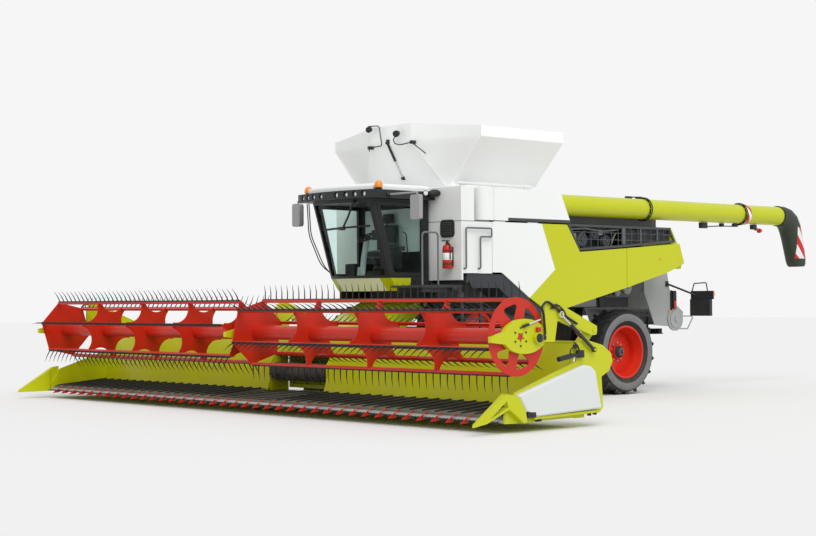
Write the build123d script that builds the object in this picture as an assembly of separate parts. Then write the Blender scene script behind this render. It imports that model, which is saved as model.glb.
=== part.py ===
from build123d import *
import math
import os

# A self-propelled combine harvester with a draper header, in millimetres, +Z up.
# Sub-parts are modelled with y measured from the front axle and the floor at z = 0.
# The machine drives toward -Y, and its own left side is +X.

# ---------------------------------------------------------------- driving dimensions
FRONT_REACH = 4630  # front axle to the crop dividers' tips
REAR_REACH = 10370  # front axle to the end of the unloading spout
FRAME_SHIFT = (FRONT_REACH - REAR_REACH) / 2  # puts the origin midway along the machine

TRACK_OUTSIDE = 1745  # half of the width over the tracks
TRACK_WIDTH = 635
DRIVE_WHEEL_Z = 1230
DRIVE_WHEEL_RADIUS = 430
IDLER_RADIUS = 370
IDLER_FRONT_Y = -850
IDLER_REAR_Y = 950
ROLLER_RADIUS = 150
BELT_THICKNESS = 32
LUG_HEIGHT = 48
LUG_LENGTH = 75
LUG_COUNT = 40

WHEELBASE = 4145
REAR_TYRE_RADIUS = 823
REAR_TYRE_WIDTH = 560
REAR_TYRE_OUTSIDE = 1628
RIM_RADIUS = 490
KINGPIN_X = 900
KINGPIN_RADIUS = 45
SPINDLE_RADIUS = 60
RUNNING_FIT = 0.05  # radial clearance of every pin and shaft in its bore
SEAT = 0.3  # clearance between pieces that rest on each other

BODY_HALF_WIDTH = 1700
BODY_FRONT_Y = -400
HOUSING_HALF_WIDTH = 850
RAIL_X = 600
RAIL_Z = 1680
RAIL_HEIGHT = 200
PANEL_THICKNESS = 45
PANEL_GAP = 12
PANEL_INNER_X = BODY_HALF_WIDTH - PANEL_THICKNESS
DECK_EDGE_X = PANEL_INNER_X - 6

TANK_HALF_WIDTH = 1280
TANK_FRONT_Y = -215
TANK_REAR_Y = 1960
TANK_RIM_Z = 3880
TANK_WALL = 30
COVER_THICKNESS = 25

CAB_SKIRT_Z = 2020
CAB_FLOOR_Z = 2200
CAB_ROOF_Z = 3620
CAB_TOP_Z = 3880
CAB_REAR_Y = -440
CAB_FRONT_HALF = 810
CAB_REAR_HALF = 905
CAB_WALL = 60
GLASS = 8

AUGER_X = 1500
AUGER_Z = 3610
AUGER_RADIUS = 200
AUGER_PIVOT_Y = 285
AUGER_TIP_Y = 9300
FAIRING_HALF_WIDTH = 212

CUT_HALF_WIDTH = 6170  # half of the cutting width, to the end sheets' inner faces
END_SHEET = 30
KNIFE_Y = -3980
BACK_SHEET_Y = -2760
TOP_BEAM_Z = 1150
TOP_BEAM_SIZE = 190
FEEDER_HINGE_Y = -460
FEEDER_HINGE_Z = 1780
FEEDER_HALF_WIDTH = 760

REEL_Y = -3644
REEL_Z = 1333
REEL_TUBE_RADIUS = 115
REEL_BAT_RADIUS = 530
REEL_RING_RADIUS = 555
REEL_INNER_X = 120  # each reel half starts this far from the machine's centre line
REEL_OUTER_X = CUT_HALF_WIDTH - 34
BAT_COUNT = 6
BAT_SIZE = 44
TINE_LENGTH = 235
TINES_PER_BAT = 40


def box(x_low, x_high, y_low, y_high, z_low, z_high):
    centre = ((x_low + x_high) / 2, (y_low + y_high) / 2, (z_low + z_high) / 2)
    return Pos(*centre) * Box(x_high - x_low, y_high - y_low, z_high - z_low)


def rod_x(radius, x_low, x_high, y, z):
    return Pos((x_low + x_high) / 2, y, z) * Rot(0, 90, 0) * Cylinder(radius, x_high - x_low)


def rod_y(radius, y_low, y_high, x, z):
    return Pos(x, (y_low + y_high) / 2, z) * Rot(90, 0, 0) * Cylinder(radius, y_high - y_low)


def rod_z(radius, z_low, z_high, x, y):
    return Pos(x, y, (z_low + z_high) / 2) * Cylinder(radius, z_high - z_low)


def rod_between(radius, start, end):
    line = Edge.make_line(start, end)
    return extrude(Plane(origin=start, z_dir=line.tangent_at(0)) * Circle(radius), amount=line.length)


def side_plate(outline, x_low, x_high, rounding=0):
    # A plate in the Y-Z plane, from a list of (y, z) corners.
    face = Polygon(*outline, align=None)
    if rounding:
        face = fillet(face.vertices(), rounding)
    return Pos(x_low, 0, 0) * extrude(Plane.YZ * face, amount=x_high - x_low, dir=(1, 0, 0))


def front_plate(outline, y_low, y_high):
    # A plate in the X-Z plane, from a list of (x, z) corners.
    face = Polygon(*outline, align=None)
    return Pos(0, y_low, 0) * extrude(Plane.XZ * face, amount=y_high - y_low, dir=(0, 1, 0))


def tube_route(points, radius, tube):
    route = FilletPolyline(*points, radius=radius)
    return sweep(Plane(origin=route @ 0, z_dir=route % 0) * Circle(tube), path=route)


def mirrored(shape):
    return mirror(shape, about=Plane.YZ)


def group(solids):
    # Pieces of one node that do not touch each other.
    return Compound(children=[part for item in solids for part in item.solids()])


def save(name, shape):
    os.makedirs("parts", exist_ok=True)
    solids = [Pos(0, FRAME_SHIFT, 0) * solid for solid in shape.solids()]
    export_step(solids[0] if len(solids) == 1 else Compound(children=solids), f"parts/{name}.step")


def save_both(name, shape):
    # One node for the left piece and its mirror image on the right.
    save(name, group([shape, mirrored(shape)]))


def save_pair(name, shape):
    # The left one is modelled; the right one is its mirror image.
    save(f"{name}_left", shape)
    save(f"{name}_right", mirrored(shape))


# ---------------------------------------------------------------- track units
TRACK_CENTRE = TRACK_OUTSIDE - TRACK_WIDTH / 2
IDLER_Z = IDLER_RADIUS + BELT_THICKNESS + LUG_HEIGHT
# Wheels that shape the belt: y, z, radius
BELT_WHEELS = [
    (0, DRIVE_WHEEL_Z, DRIVE_WHEEL_RADIUS),
    (IDLER_FRONT_Y, IDLER_Z, IDLER_RADIUS),
    (IDLER_REAR_Y, IDLER_Z, IDLER_RADIUS),
]
ROLLER_Z = IDLER_Z - IDLER_RADIUS + ROLLER_RADIUS
ROLLERS = [(y, ROLLER_Z, ROLLER_RADIUS) for y in (-260, 50, 360)]
TRACK_FRAME_HALF = 90  # half thickness of the frame between the wheel pairs
TRACK_WHEEL_WIDTH = 170
ROLLER_WIDTH = 150


def belt_outline(offset):
    circles = [Pos(y, z) * Circle(radius + offset) for y, z, radius in BELT_WHEELS]
    return make_hull([edge for circle in circles for edge in circle.edges()])


def track_belt():
    outer = belt_outline(BELT_THICKNESS)
    loop = outer - belt_outline(0)
    path = outer.face().outer_wire()
    halves = []
    # Chevron lugs: the outboard and inboard halves are staggered by half a pitch.
    for x_low, phase in ((TRACK_CENTRE, 0.0), (TRACK_OUTSIDE - TRACK_WIDTH, 0.5)):
        lugs = []
        for index in range(LUG_COUNT):
            place = (index + phase) / LUG_COUNT
            point = path.position_at(place)
            tangent = path.tangent_at(place)
            angle = math.degrees(math.atan2(tangent.Y, tangent.X))
            lugs.append(Pos(point.X, point.Y) * Rot(0, 0, angle) * Rectangle(LUG_LENGTH, 2 * LUG_HEIGHT))
        toothed = (loop + lugs) - belt_outline(0)
        halves.append(Pos(x_low, 0, 0) * extrude(Plane.YZ * toothed, amount=TRACK_WIDTH / 2, dir=(1, 0, 0)))
    return halves[0] + halves[1]


def track_wheels():
    wheels = []
    for y, z, radius in BELT_WHEELS + ROLLERS:
        rim_width = TRACK_WHEEL_WIDTH if radius > ROLLER_RADIUS else ROLLER_WIDTH
        for side in (-1, 1):
            inner = TRACK_CENTRE + side * TRACK_FRAME_HALF
            outer = inner + side * rim_width
            wheel = rod_x(radius - SEAT, min(inner, outer), max(inner, outer), y, z)
            if radius > ROLLER_RADIUS:
                dish = rod_x(radius - 60, outer - 90, outer + 90, y, z)
                hub = rod_x(120, min(inner, outer), max(inner, outer), y, z)
                wheel = wheel - dish + hub
            wheels.append(wheel)
    return wheels


def track_frame():
    outline = [
        (IDLER_FRONT_Y - 90, IDLER_Z - 90),
        (IDLER_REAR_Y + 90, IDLER_Z - 90),
        (IDLER_REAR_Y + 90, IDLER_Z + 90),
        (150, DRIVE_WHEEL_Z + 130),
        (-150, DRIVE_WHEEL_Z + 130),
        (IDLER_FRONT_Y - 90, IDLER_Z + 90),
    ]
    x_low = TRACK_CENTRE - TRACK_FRAME_HALF
    x_high = TRACK_CENTRE + TRACK_FRAME_HALF
    frame = side_plate(outline, x_low, x_high, 60)
    for y in (-300, 330):
        frame -= rod_x(150, x_low - 1, x_high + 1, y, IDLER_Z + 210)
    for y, z, radius in ROLLERS:
        frame += box(x_low, x_high, y - 70, y + 70, z - 60, IDLER_Z)
    return frame


save_both("track_belts", track_belt())
save_both("track_units", track_frame() + track_wheels())

# ---------------------------------------------------------------- chassis and rear axle
REAR_AXLE_Z = REAR_TYRE_RADIUS
AXLE_HALF = 120
AXLE_TUBE_RADIUS = 140
RAIL_HALF = 70
TRESTLE_PLATE = 25
PIVOT_PIN_RADIUS = 50
FORK_HALF_GAP = 125  # half of the gap that the knuckle's sleeve fills
FORK_PLATE = 40
HITCH_Y = WHEELBASE + 620
HITCH_Z = REAR_AXLE_Z + 120
HITCH_PIN_RADIUS = 20
FEEDER_PIN_RADIUS = 40
OUTRIGGER_Z = RAIL_Z + 120
LIFT_X = 430
LIFT_PIN_Y = -200
LIFT_PIN_Z = 1150
LIFT_PIN_RADIUS = 30
LIFT_HALF_GAP = 68  # half of the gap between a lift cylinder's lugs
LIFT_LUG = 22


def front_axle():
    tube_end = TRACK_CENTRE - TRACK_FRAME_HALF - TRACK_WHEEL_WIDTH
    axle = rod_x(AXLE_TUBE_RADIUS, -tube_end, tube_end, 0, DRIVE_WHEEL_Z)
    for x in (-RAIL_X, RAIL_X):
        axle += box(x - RAIL_HALF, x + RAIL_HALF, -150, 150, DRIVE_WHEEL_Z, RAIL_Z - SEAT)
    # Brackets of the two header lift cylinders on the axle tube
    bracket = [
        (-40, DRIVE_WHEEL_Z + 60),
        (-40, DRIVE_WHEEL_Z - 110),
        (LIFT_PIN_Y - 45, LIFT_PIN_Z - 45),
        (LIFT_PIN_Y - 45, LIFT_PIN_Z + 45),
    ]
    reach = LIFT_HALF_GAP + LIFT_LUG
    for x in (-LIFT_X, LIFT_X):
        for x_low in (x - reach, x + LIFT_HALF_GAP):
            axle += side_plate(bracket, x_low, x_low + LIFT_LUG)
        axle += rod_x(LIFT_PIN_RADIUS, x - reach, x + reach, LIFT_PIN_Y, LIFT_PIN_Z)
    return axle


def chassis_frame():
    frame = Part()
    for x in (-RAIL_X, RAIL_X):
        frame += box(x - RAIL_HALF, x + RAIL_HALF, BODY_FRONT_Y + 60, 5300, RAIL_Z, RAIL_Z + RAIL_HEIGHT)
    for y in (500, 3000, 5200):
        frame += box(-RAIL_X, RAIL_X, y - 60, y + 60, RAIL_Z + 20, RAIL_Z + 160)
    # Trestle plates that carry the rear axle's centre pivot
    trestle = [(-380, RAIL_Z + 60), (-160, REAR_AXLE_Z - 90), (160, REAR_AXLE_Z - 90), (380, RAIL_Z + 60)]
    plate_front = WHEELBASE - AXLE_HALF - 5 - TRESTLE_PLATE
    plate_rear = WHEELBASE + AXLE_HALF + 5
    for y in (plate_front, plate_rear):
        frame += front_plate(trestle, y, y + TRESTLE_PLATE)
    frame += box(-RAIL_X, RAIL_X, plate_front - 40, plate_rear + TRESTLE_PLATE + 40, RAIL_Z, RAIL_Z + 90)
    # Towing jaw on a tongue behind the trestle
    frame += box(-70, 70, plate_rear + TRESTLE_PLATE - 1, HITCH_Y + 60, HITCH_Z - 60, HITCH_Z + 60)
    frame -= box(-71, 71, HITCH_Y - 60, HITCH_Y + 61, HITCH_Z - 30, HITCH_Z + 30)
    frame -= rod_z(HITCH_PIN_RADIUS, HITCH_Z - 100, HITCH_Z + 100, 0, HITCH_Y)
    # Front cross beam with the cab's two bearer arms and the lugs of the feeder's hinge
    frame += box(-895, 895, BODY_FRONT_Y + 60, BODY_FRONT_Y + 120, RAIL_Z, RAIL_Z + RAIL_HEIGHT)
    for x_low in (-895, 835):
        frame += box(x_low, x_low + 60, -1000, BODY_FRONT_Y + 55, RAIL_Z + RAIL_HEIGHT - 60, CAB_SKIRT_Z - 0.3)
        frame += box(x_low, x_low + 60, BODY_FRONT_Y + 54, BODY_FRONT_Y + 61, RAIL_Z + RAIL_HEIGHT - 60, RAIL_Z + RAIL_HEIGHT)
    # Outrigger that carries the boarding platform
    frame += box(894, BODY_HALF_WIDTH - 50, BODY_FRONT_Y + 60, BODY_FRONT_Y + 120, OUTRIGGER_Z, RAIL_Z + RAIL_HEIGHT)
    for x_low in (-825, 775):
        frame += box(x_low, x_low + 50, FEEDER_HINGE_Y, BODY_FRONT_Y + 100, FEEDER_HINGE_Z - 70, FEEDER_HINGE_Z + 70)
        frame += rod_x(70, x_low, x_low + 50, FEEDER_HINGE_Y, FEEDER_HINGE_Z)
        frame -= rod_x(FEEDER_PIN_RADIUS + RUNNING_FIT, x_low - 1, x_low + 51, FEEDER_HINGE_Y, FEEDER_HINGE_Z)
    bore = rod_y(PIVOT_PIN_RADIUS + RUNNING_FIT, plate_front - 1, plate_rear + TRESTLE_PLATE + 1, 0, REAR_AXLE_Z)
    return frame - bore


def rear_axle():
    end = KINGPIN_X - 110
    outline = [
        (-end, REAR_AXLE_Z - 75),
        (end, REAR_AXLE_Z - 75),
        (end, REAR_AXLE_Z + 75),
        (320, REAR_AXLE_Z + 130),
        (-320, REAR_AXLE_Z + 130),
        (-end, REAR_AXLE_Z + 75),
    ]
    axle = front_plate(outline, WHEELBASE - AXLE_HALF, WHEELBASE + AXLE_HALF)
    fork_top = FORK_HALF_GAP + FORK_PLATE
    for side in (-1, 1):
        x = side * KINGPIN_X
        x_in = side * (KINGPIN_X - 190)
        x_web = side * (KINGPIN_X - 100)
        axle += box(min(x_in, x_web), max(x_in, x_web), WHEELBASE - 85, WHEELBASE + 85,
                    REAR_AXLE_Z - fork_top, REAR_AXLE_Z + fork_top)
        for z_low in (REAR_AXLE_Z - fork_top, REAR_AXLE_Z + FORK_HALF_GAP):
            axle += box(min(x_in, x), max(x_in, x), WHEELBASE - 85, WHEELBASE + 85, z_low, z_low + FORK_PLATE)
            axle += rod_z(85, z_low, z_low + FORK_PLATE, x, WHEELBASE)
        axle += rod_z(KINGPIN_RADIUS, REAR_AXLE_Z - fork_top, REAR_AXLE_Z + fork_top, x, WHEELBASE)
    reach = AXLE_HALF + TRESTLE_PLATE + 20
    return axle + rod_y(PIVOT_PIN_RADIUS, WHEELBASE - reach, WHEELBASE + reach, 0, REAR_AXLE_Z)


HUB_X = REAR_TYRE_OUTSIDE - REAR_TYRE_WIDTH / 2 - 40  # wheel disc's mounting face


def steering_knuckle():
    half = FORK_HALF_GAP - 0.5
    knuckle = rod_z(84, REAR_AXLE_Z - half, REAR_AXLE_Z + half, KINGPIN_X, WHEELBASE)
    knuckle += rod_x(90, KINGPIN_X, HUB_X - 60, WHEELBASE, REAR_AXLE_Z)
    knuckle += rod_x(SPINDLE_RADIUS, KINGPIN_X, HUB_X + 60, WHEELBASE, REAR_AXLE_Z)
    bore = rod_z(KINGPIN_RADIUS + RUNNING_FIT, REAR_AXLE_Z - half - 1, REAR_AXLE_Z + half + 1, KINGPIN_X, WHEELBASE)
    return knuckle - bore


def ring_of(outline):
    # Turned about the wheel's axis from a list of (axial, radius) corners.
    face = Plane.XZ * Polygon(*outline, align=None)
    return revolve(face, Axis.X)


TYRE_HALF = REAR_TYRE_WIDTH / 2
TYRE_LUG_HEIGHT = 42
TYRE_LUGS = 18
TYRE_CENTRE_X = REAR_TYRE_OUTSIDE - TYRE_HALF
WHEEL_PLACE = Pos(TYRE_CENTRE_X, WHEELBASE, REAR_AXLE_Z)


def rear_tyre():
    crown = REAR_TYRE_RADIUS - TYRE_LUG_HEIGHT
    bead = RIM_RADIUS + 0.3
    half_section = [(TYRE_HALF - 70, bead), (TYRE_HALF - 70, RIM_RADIUS + 26), (TYRE_HALF - 12, 600),
                    (TYRE_HALF, 680), (TYRE_HALF - 18, crown - 30)]
    inner = [(TYRE_HALF - 110, bead), (TYRE_HALF - 50, 610), (TYRE_HALF - 45, 680), (TYRE_HALF - 75, crown - 60)]
    outline = half_section + [(TYRE_HALF - 90, crown), (90 - TYRE_HALF, crown)]
    outline += [(-a, r) for a, r in reversed(half_section)]
    outline += [(-a, r) for a, r in inner] + list(reversed(inner))
    tyre = ring_of(outline)
    # Two rows of slanted lugs, staggered by half a pitch
    lugs = []
    for row in (-1, 1):
        for index in range(TYRE_LUGS):
            angle = (index + 0.25 * row) * 360 / TYRE_LUGS
            lug = Pos(row * 120, 0, crown) * Rot(0, 0, row * 38) * Box(300, 58, 2 * TYRE_LUG_HEIGHT)
            lugs.append(Rot(angle, 0, 0) * lug)
    tread = Rot(0, 90, 0) * Cylinder(REAR_TYRE_RADIUS, REAR_TYRE_WIDTH - 4)
    hollow = Rot(0, 90, 0) * Cylinder(crown - 20, REAR_TYRE_WIDTH + 10)
    lug_ring = (Part() + lugs) & (tread - hollow)
    return WHEEL_PLACE * (tyre + lug_ring)


def rear_rim():
    edge = TYRE_HALF - 69.7
    barrel = [(-edge, RIM_RADIUS), (edge, RIM_RADIUS), (edge, RIM_RADIUS + 22), (edge + 14, RIM_RADIUS + 22),
              (edge + 14, RIM_RADIUS - 14), (60, RIM_RADIUS - 60), (-60, RIM_RADIUS - 60),
              (-edge - 14, RIM_RADIUS - 14), (-edge - 14, RIM_RADIUS + 22), (-edge, RIM_RADIUS + 22)]
    rim = ring_of(barrel)
    disc_in = HUB_X - TYRE_CENTRE_X
    hub_bore = SPINDLE_RADIUS + RUNNING_FIT
    disc = [(disc_in, hub_bore), (disc_in, 200), (-70, RIM_RADIUS - 50), (-52, RIM_RADIUS - 50),
            (disc_in + 20, 205), (disc_in + 20, 150), (disc_in + 75, 140), (disc_in + 75, hub_bore)]
    rim += ring_of(disc)
    return WHEEL_PLACE * rim


save("front_axle", front_axle())
save("chassis_frame", chassis_frame())
save("rear_axle", rear_axle())
save_pair("steering_knuckle", steering_knuckle())
save_pair("rear_tyre", rear_tyre())
save_pair("rear_rim", rear_rim())

# ---------------------------------------------------------------- body between the panels
HOUSING_Z = RAIL_Z + RAIL_HEIGHT
HOUSING_LOW_TOP = 2300
HOUSING_TOP = 2900
HOUSING_REAR_Y = 5560
ENGINE_FRONT_Y = TANK_REAR_Y + 90
SHOULDER_Z = 3240
UPPER_CORNER_Y = -80


def threshing_housing():
    outline = [
        (BODY_FRONT_Y + 60, HOUSING_Z),
        (HOUSING_REAR_Y - 150, HOUSING_Z),
        (HOUSING_REAR_Y, HOUSING_Z + 250),
        (HOUSING_REAR_Y, HOUSING_TOP),
        (ENGINE_FRONT_Y, HOUSING_TOP),
        (ENGINE_FRONT_Y, HOUSING_LOW_TOP),
        (BODY_FRONT_Y + 60, HOUSING_LOW_TOP),
    ]
    return side_plate(outline, -HOUSING_HALF_WIDTH, HOUSING_HALF_WIDTH)


def cleaning_shoe():
    half = RAIL_X - RAIL_HALF - 10
    outline = [(620, HOUSING_Z), (560, 1300), (760, 1080), (1200, 1050), (2700, 1280), (2930, RAIL_Z + 15), (2930, HOUSING_Z)]
    return side_plate(outline, -half, half)


def grain_tank():
    rim = box(-TANK_HALF_WIDTH, TANK_HALF_WIDTH, TANK_FRONT_Y, TANK_REAR_Y, 2960, TANK_RIM_Z)
    inside = box(-TANK_HALF_WIDTH + TANK_WALL, TANK_HALF_WIDTH - TANK_WALL, TANK_FRONT_Y + TANK_WALL,
                 TANK_REAR_Y - TANK_WALL, 2959, TANK_RIM_Z + 1)
    middle_y = (TANK_FRONT_Y + TANK_REAR_Y) / 2
    length = TANK_REAR_Y - TANK_FRONT_Y

    def funnel(inset, z_low, z_high):
        top = Pos(0, middle_y, z_high) * Rectangle(2 * (TANK_HALF_WIDTH - inset), length - 2 * inset)
        foot = Pos(0, middle_y, z_low) * Rectangle(1100 - 2 * inset, 1300 - 2 * inset)
        return loft([foot, top])

    hopper = funnel(0, HOUSING_LOW_TOP, 2960) - funnel(TANK_WALL, HOUSING_LOW_TOP + TANK_WALL, 2961)
    return (rim - inside) + hopper


def front_wall():
    # White front wall behind the cab, its outer corners and the deck round the tank's mouth
    wall = box(-BODY_HALF_WIDTH, BODY_HALF_WIDTH, BODY_FRONT_Y, BODY_FRONT_Y + 40, CAB_FLOOR_Z, TANK_RIM_Z - 40)
    for side in (-1, 1):
        x = side * (BODY_HALF_WIDTH - PANEL_THICKNESS)
        x_out = side * BODY_HALF_WIDTH
        wall += box(min(x, x_out), max(x, x_out), BODY_FRONT_Y, 40, HOUSING_LOW_TOP + 20, SHOULDER_Z)
        # Above the shoulder the corner stops short of the path of the swinging auger.
        wall += box(min(x, x_out), max(x, x_out), BODY_FRONT_Y, UPPER_CORNER_Y, SHOULDER_Z - 1, TANK_RIM_Z - 40)
        x_tank = side * (TANK_HALF_WIDTH + 1)
        wall += box(min(x_tank, x_out), max(x_tank, x_out), BODY_FRONT_Y, UPPER_CORNER_Y, TANK_RIM_Z - 80, TANK_RIM_Z - 40)
    wall += box(-BODY_HALF_WIDTH, BODY_HALF_WIDTH, BODY_FRONT_Y, TANK_FRONT_Y - 0.3, TANK_RIM_Z - 80, TANK_RIM_Z - 40)
    return wall


HOOD_TOP_Z = 3560
HOOD_REAR_Y = 5450
HOOD_WALL = 30
GRILLE_TOP_Z = SHOULDER_Z + 14


def side_shoulder():
    # Decks beside the tank: the auger lies over the left one, and the right one carries a box up to the rim.
    deck = box(TANK_HALF_WIDTH + SEAT, DECK_EDGE_X, BODY_FRONT_Y + 39, TANK_REAR_Y, SHOULDER_Z - 30, SHOULDER_Z)
    deck += door_hinge_leaves()
    rim_z = TANK_RIM_Z - 40
    right = box(-BODY_HALF_WIDTH, -TANK_HALF_WIDTH - SEAT, 39, TANK_REAR_Y, SHOULDER_Z + 16, rim_z)
    right += box(-DECK_EDGE_X, -TANK_HALF_WIDTH - SEAT, 39, TANK_REAR_Y, SHOULDER_Z - 1, SHOULDER_Z + 17)
    right -= box(-BODY_HALF_WIDTH + 40, -TANK_HALF_WIDTH - 40, 80, TANK_REAR_Y - 40, SHOULDER_Z + 1, rim_z - 40)
    return deck + mirrored(deck) + right


def engine_hood():
    # The left edge steps down to a deck that carries on from the shoulder under the auger.
    deck_low = SHOULDER_Z - HOOD_WALL
    right = -BODY_HALF_WIDTH + 5
    outer = [(right, GRILLE_TOP_Z + 0.3), (right, HOOD_TOP_Z - 120), (right + 175, HOOD_TOP_Z),
             (TANK_HALF_WIDTH - 120, HOOD_TOP_Z), (TANK_HALF_WIDTH, HOOD_TOP_Z - 120), (TANK_HALF_WIDTH, SHOULDER_Z),
             (DECK_EDGE_X, SHOULDER_Z), (DECK_EDGE_X, deck_low), (right + HOOD_WALL, deck_low),
             (right + HOOD_WALL, GRILLE_TOP_Z + 0.3)]
    inner = [(right + HOOD_WALL, deck_low - 1), (right + HOOD_WALL, HOOD_TOP_Z - 130),
             (right + 185, HOOD_TOP_Z - HOOD_WALL), (TANK_HALF_WIDTH - 130, HOOD_TOP_Z - HOOD_WALL),
             (TANK_HALF_WIDTH - HOOD_WALL, HOOD_TOP_Z - 130), (TANK_HALF_WIDTH - HOOD_WALL, deck_low - 1)]
    hood = front_plate(outer, TANK_REAR_Y + 0.3, HOOD_REAR_Y)
    hood -= front_plate(inner, TANK_REAR_Y, HOOD_REAR_Y - HOOD_WALL)
    # Seat of the left grille on the deck's edge
    return hood + box(DECK_EDGE_X - 1, PANEL_INNER_X - 0.3, 2400, HOOD_REAR_Y - 80, deck_low, SHOULDER_Z)


def engine_block():
    block = box(-450, 450, ENGINE_FRONT_Y + 350, ENGINE_FRONT_Y + 1650, HOUSING_TOP, 3440)
    return block


def cooling_unit():
    return box(-1350, -700, ENGINE_FRONT_Y + 1500, HOOD_REAR_Y - 200, HOUSING_TOP, 3430)


def air_cleaner():
    front_y = ENGINE_FRONT_Y + 700
    saddle = box(580, 740, front_y + 100, front_y + 700, HOUSING_TOP, HOUSING_TOP + 80)
    return rod_y(170, front_y, front_y + 800, 660, HOUSING_TOP + 190) + saddle


GRILLE_BARS = 14
# Grille opening above the lime side panel: y and z of its corners
GRILLE_OUTLINE = [(2360, GRILLE_TOP_Z), (2690, 2760), (4050, 2850), (5560, 2970), (HOOD_REAR_Y - 60, GRILLE_TOP_Z)]


def engine_grille():
    face = Polygon(*GRILLE_OUTLINE, align=None)
    frame = face - offset(face, -45, kind=Kind.INTERSECTION)
    grille = Pos(PANEL_INNER_X, 0, 0) * extrude(Plane.YZ * frame, amount=30, dir=(1, 0, 0))
    opening = offset(face, -40, kind=Kind.INTERSECTION)
    inner = Pos(PANEL_INNER_X, 0, 0) * extrude(Plane.YZ * opening, amount=30, dir=(1, 0, 0))
    bars = []
    for index in range(1, GRILLE_BARS):
        y = 2640 + index * (5400 - 2640) / GRILLE_BARS
        bars.append(box(PANEL_INNER_X + 9, PANEL_INNER_X + 21, y - 7, y + 7, 2700, 3300))
    for z in (2980, 3110):
        bars.append(box(PANEL_INNER_X + 9, PANEL_INNER_X + 21, 2300, 5600, z - 7, z + 7))
    return grille + ((Part() + bars) & inner)


def rear_panel():
    front_y = HOUSING_REAR_Y + SEAT
    outline = [(HOOD_REAR_Y + SEAT, SHOULDER_Z + 20), (5640, 2975), (5790, 2560), (5760, 2440), (front_y, 2440),
               (front_y, 2900), (HOOD_REAR_Y + SEAT, 2950)]
    return side_plate(outline, -PANEL_INNER_X, PANEL_INNER_X)


HOOD_HALF_WIDTH = 870
CHOPPER_HUB = (6536, 1422)  # y and z of the chopper drum's end housings
CHOPPER_HUB_RADIUS = 240
GUARD_TUBE = 14


def rear_hood():
    front_y = HOUSING_REAR_Y + SEAT
    outline = [(front_y, 2420), (6300, 2410), (6430, 1820), (6820, 1570), (6780, 1330), (6550, 1260), (5890, 1310),
               (front_y, 1980)]
    inner = [(5590, 2385), (6280, 2380), (6405, 1800), (6790, 1555), (6755, 1350), (6540, 1200), (5900, 1200),
             (5590, 1990)]
    hood = side_plate(outline, -HOOD_HALF_WIDTH, HOOD_HALF_WIDTH)
    hood -= side_plate(inner, -HOOD_HALF_WIDTH + 25, HOOD_HALF_WIDTH - 25)
    # Cross beam that carries the spreader's shafts
    hood += box(-HOOD_HALF_WIDTH + 10, HOOD_HALF_WIDTH - 10, 6150, 6250, 1480, 1540)
    hood -= spreader_bores()
    # End housings of the chopper drum, and a bent guard tube behind each side wall
    for side in (-1, 1):
        wall = side * (HOOD_HALF_WIDTH - 12)
        for radius, reach in ((CHOPPER_HUB_RADIUS, 28), (CHOPPER_HUB_RADIUS - 60, 44), (55, 66)):
            end = side * (HOOD_HALF_WIDTH + reach)
            hood += rod_x(radius, min(wall, end), max(wall, end), *CHOPPER_HUB)
        guard = [(6795, 1483), (7180, 1478), (6975, 1215), (6700, 1225), (6640, 1312)]
        hood += tube_route([(wall, y, z) for y, z in guard], 35, GUARD_TUBE)
    return hood


LAMP_PLATE_Y = 6640
LAMP_PLATE = (1212, 1780, 1830, 2002)  # inner and outer x, lower and upper z
LAMP_BOX = (1212, 1712, 1490, 1832)


def rear_lamp_arm():
    # A bent tube on the hood's side that carries the rear lamp plate, its lamp box and a guard hoop
    foot = (HOOD_HALF_WIDTH + 16, 6290, 2150)
    arm = box(HOOD_HALF_WIDTH + SEAT, HOOD_HALF_WIDTH + 15, 6240, 6335, 2095, 2205)
    arm += rod_between(20, foot, (1320, LAMP_PLATE_Y + 12, 1918))
    x_low, x_high, z_low, z_high = LAMP_PLATE
    arm += box(x_low, x_high, LAMP_PLATE_Y, LAMP_PLATE_Y + 25, z_low, z_high)
    hoop = [(x_low + 20, z_high - 20), (x_low + 80, z_high + 152), (x_high - 180, z_high + 168), (x_high - 150, z_high - 20)]
    arm += tube_route([(x, LAMP_PLATE_Y + 12, z) for x, z in hoop], 35, GUARD_TUBE - 2)
    x_low, x_high, z_low, z_high = LAMP_BOX
    return arm + box(x_low, x_high, LAMP_PLATE_Y - 30, LAMP_PLATE_Y + 55, z_low, z_high)


SPREADER_X = 420
SPREADER_Y = 6200
SPREADER_SHAFT = 25


def spreader_bores():
    return group([rod_z(SPREADER_SHAFT + RUNNING_FIT, 1470, 1550, x, SPREADER_Y) for x in (-SPREADER_X, SPREADER_X)])


def spreader_rotor():
    rotor = rod_z(SPREADER_SHAFT, 1130, 1560, SPREADER_X, SPREADER_Y)
    rotor += rod_z(330, 1120, 1135, SPREADER_X, SPREADER_Y)
    rotor += rod_z(60, 1120, 1250, SPREADER_X, SPREADER_Y)
    for index in range(6):
        blade = Rot(0, 0, index * 60) * box(30, 320, -8, 8, 1130, 1230)
        rotor += Pos(SPREADER_X, SPREADER_Y, 0) * blade
    return rotor


save("threshing_housing", group([threshing_housing(), cleaning_shoe()]))
save("engine_hood", engine_hood())
save("engine", group([engine_block(), cooling_unit(), air_cleaner()]))
save_both("engine_grilles", engine_grille())
save("rear_hood", rear_hood())
save_both("rear_lamp_arms", rear_lamp_arm())
save_pair("spreader_rotor", spreader_rotor())

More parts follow.
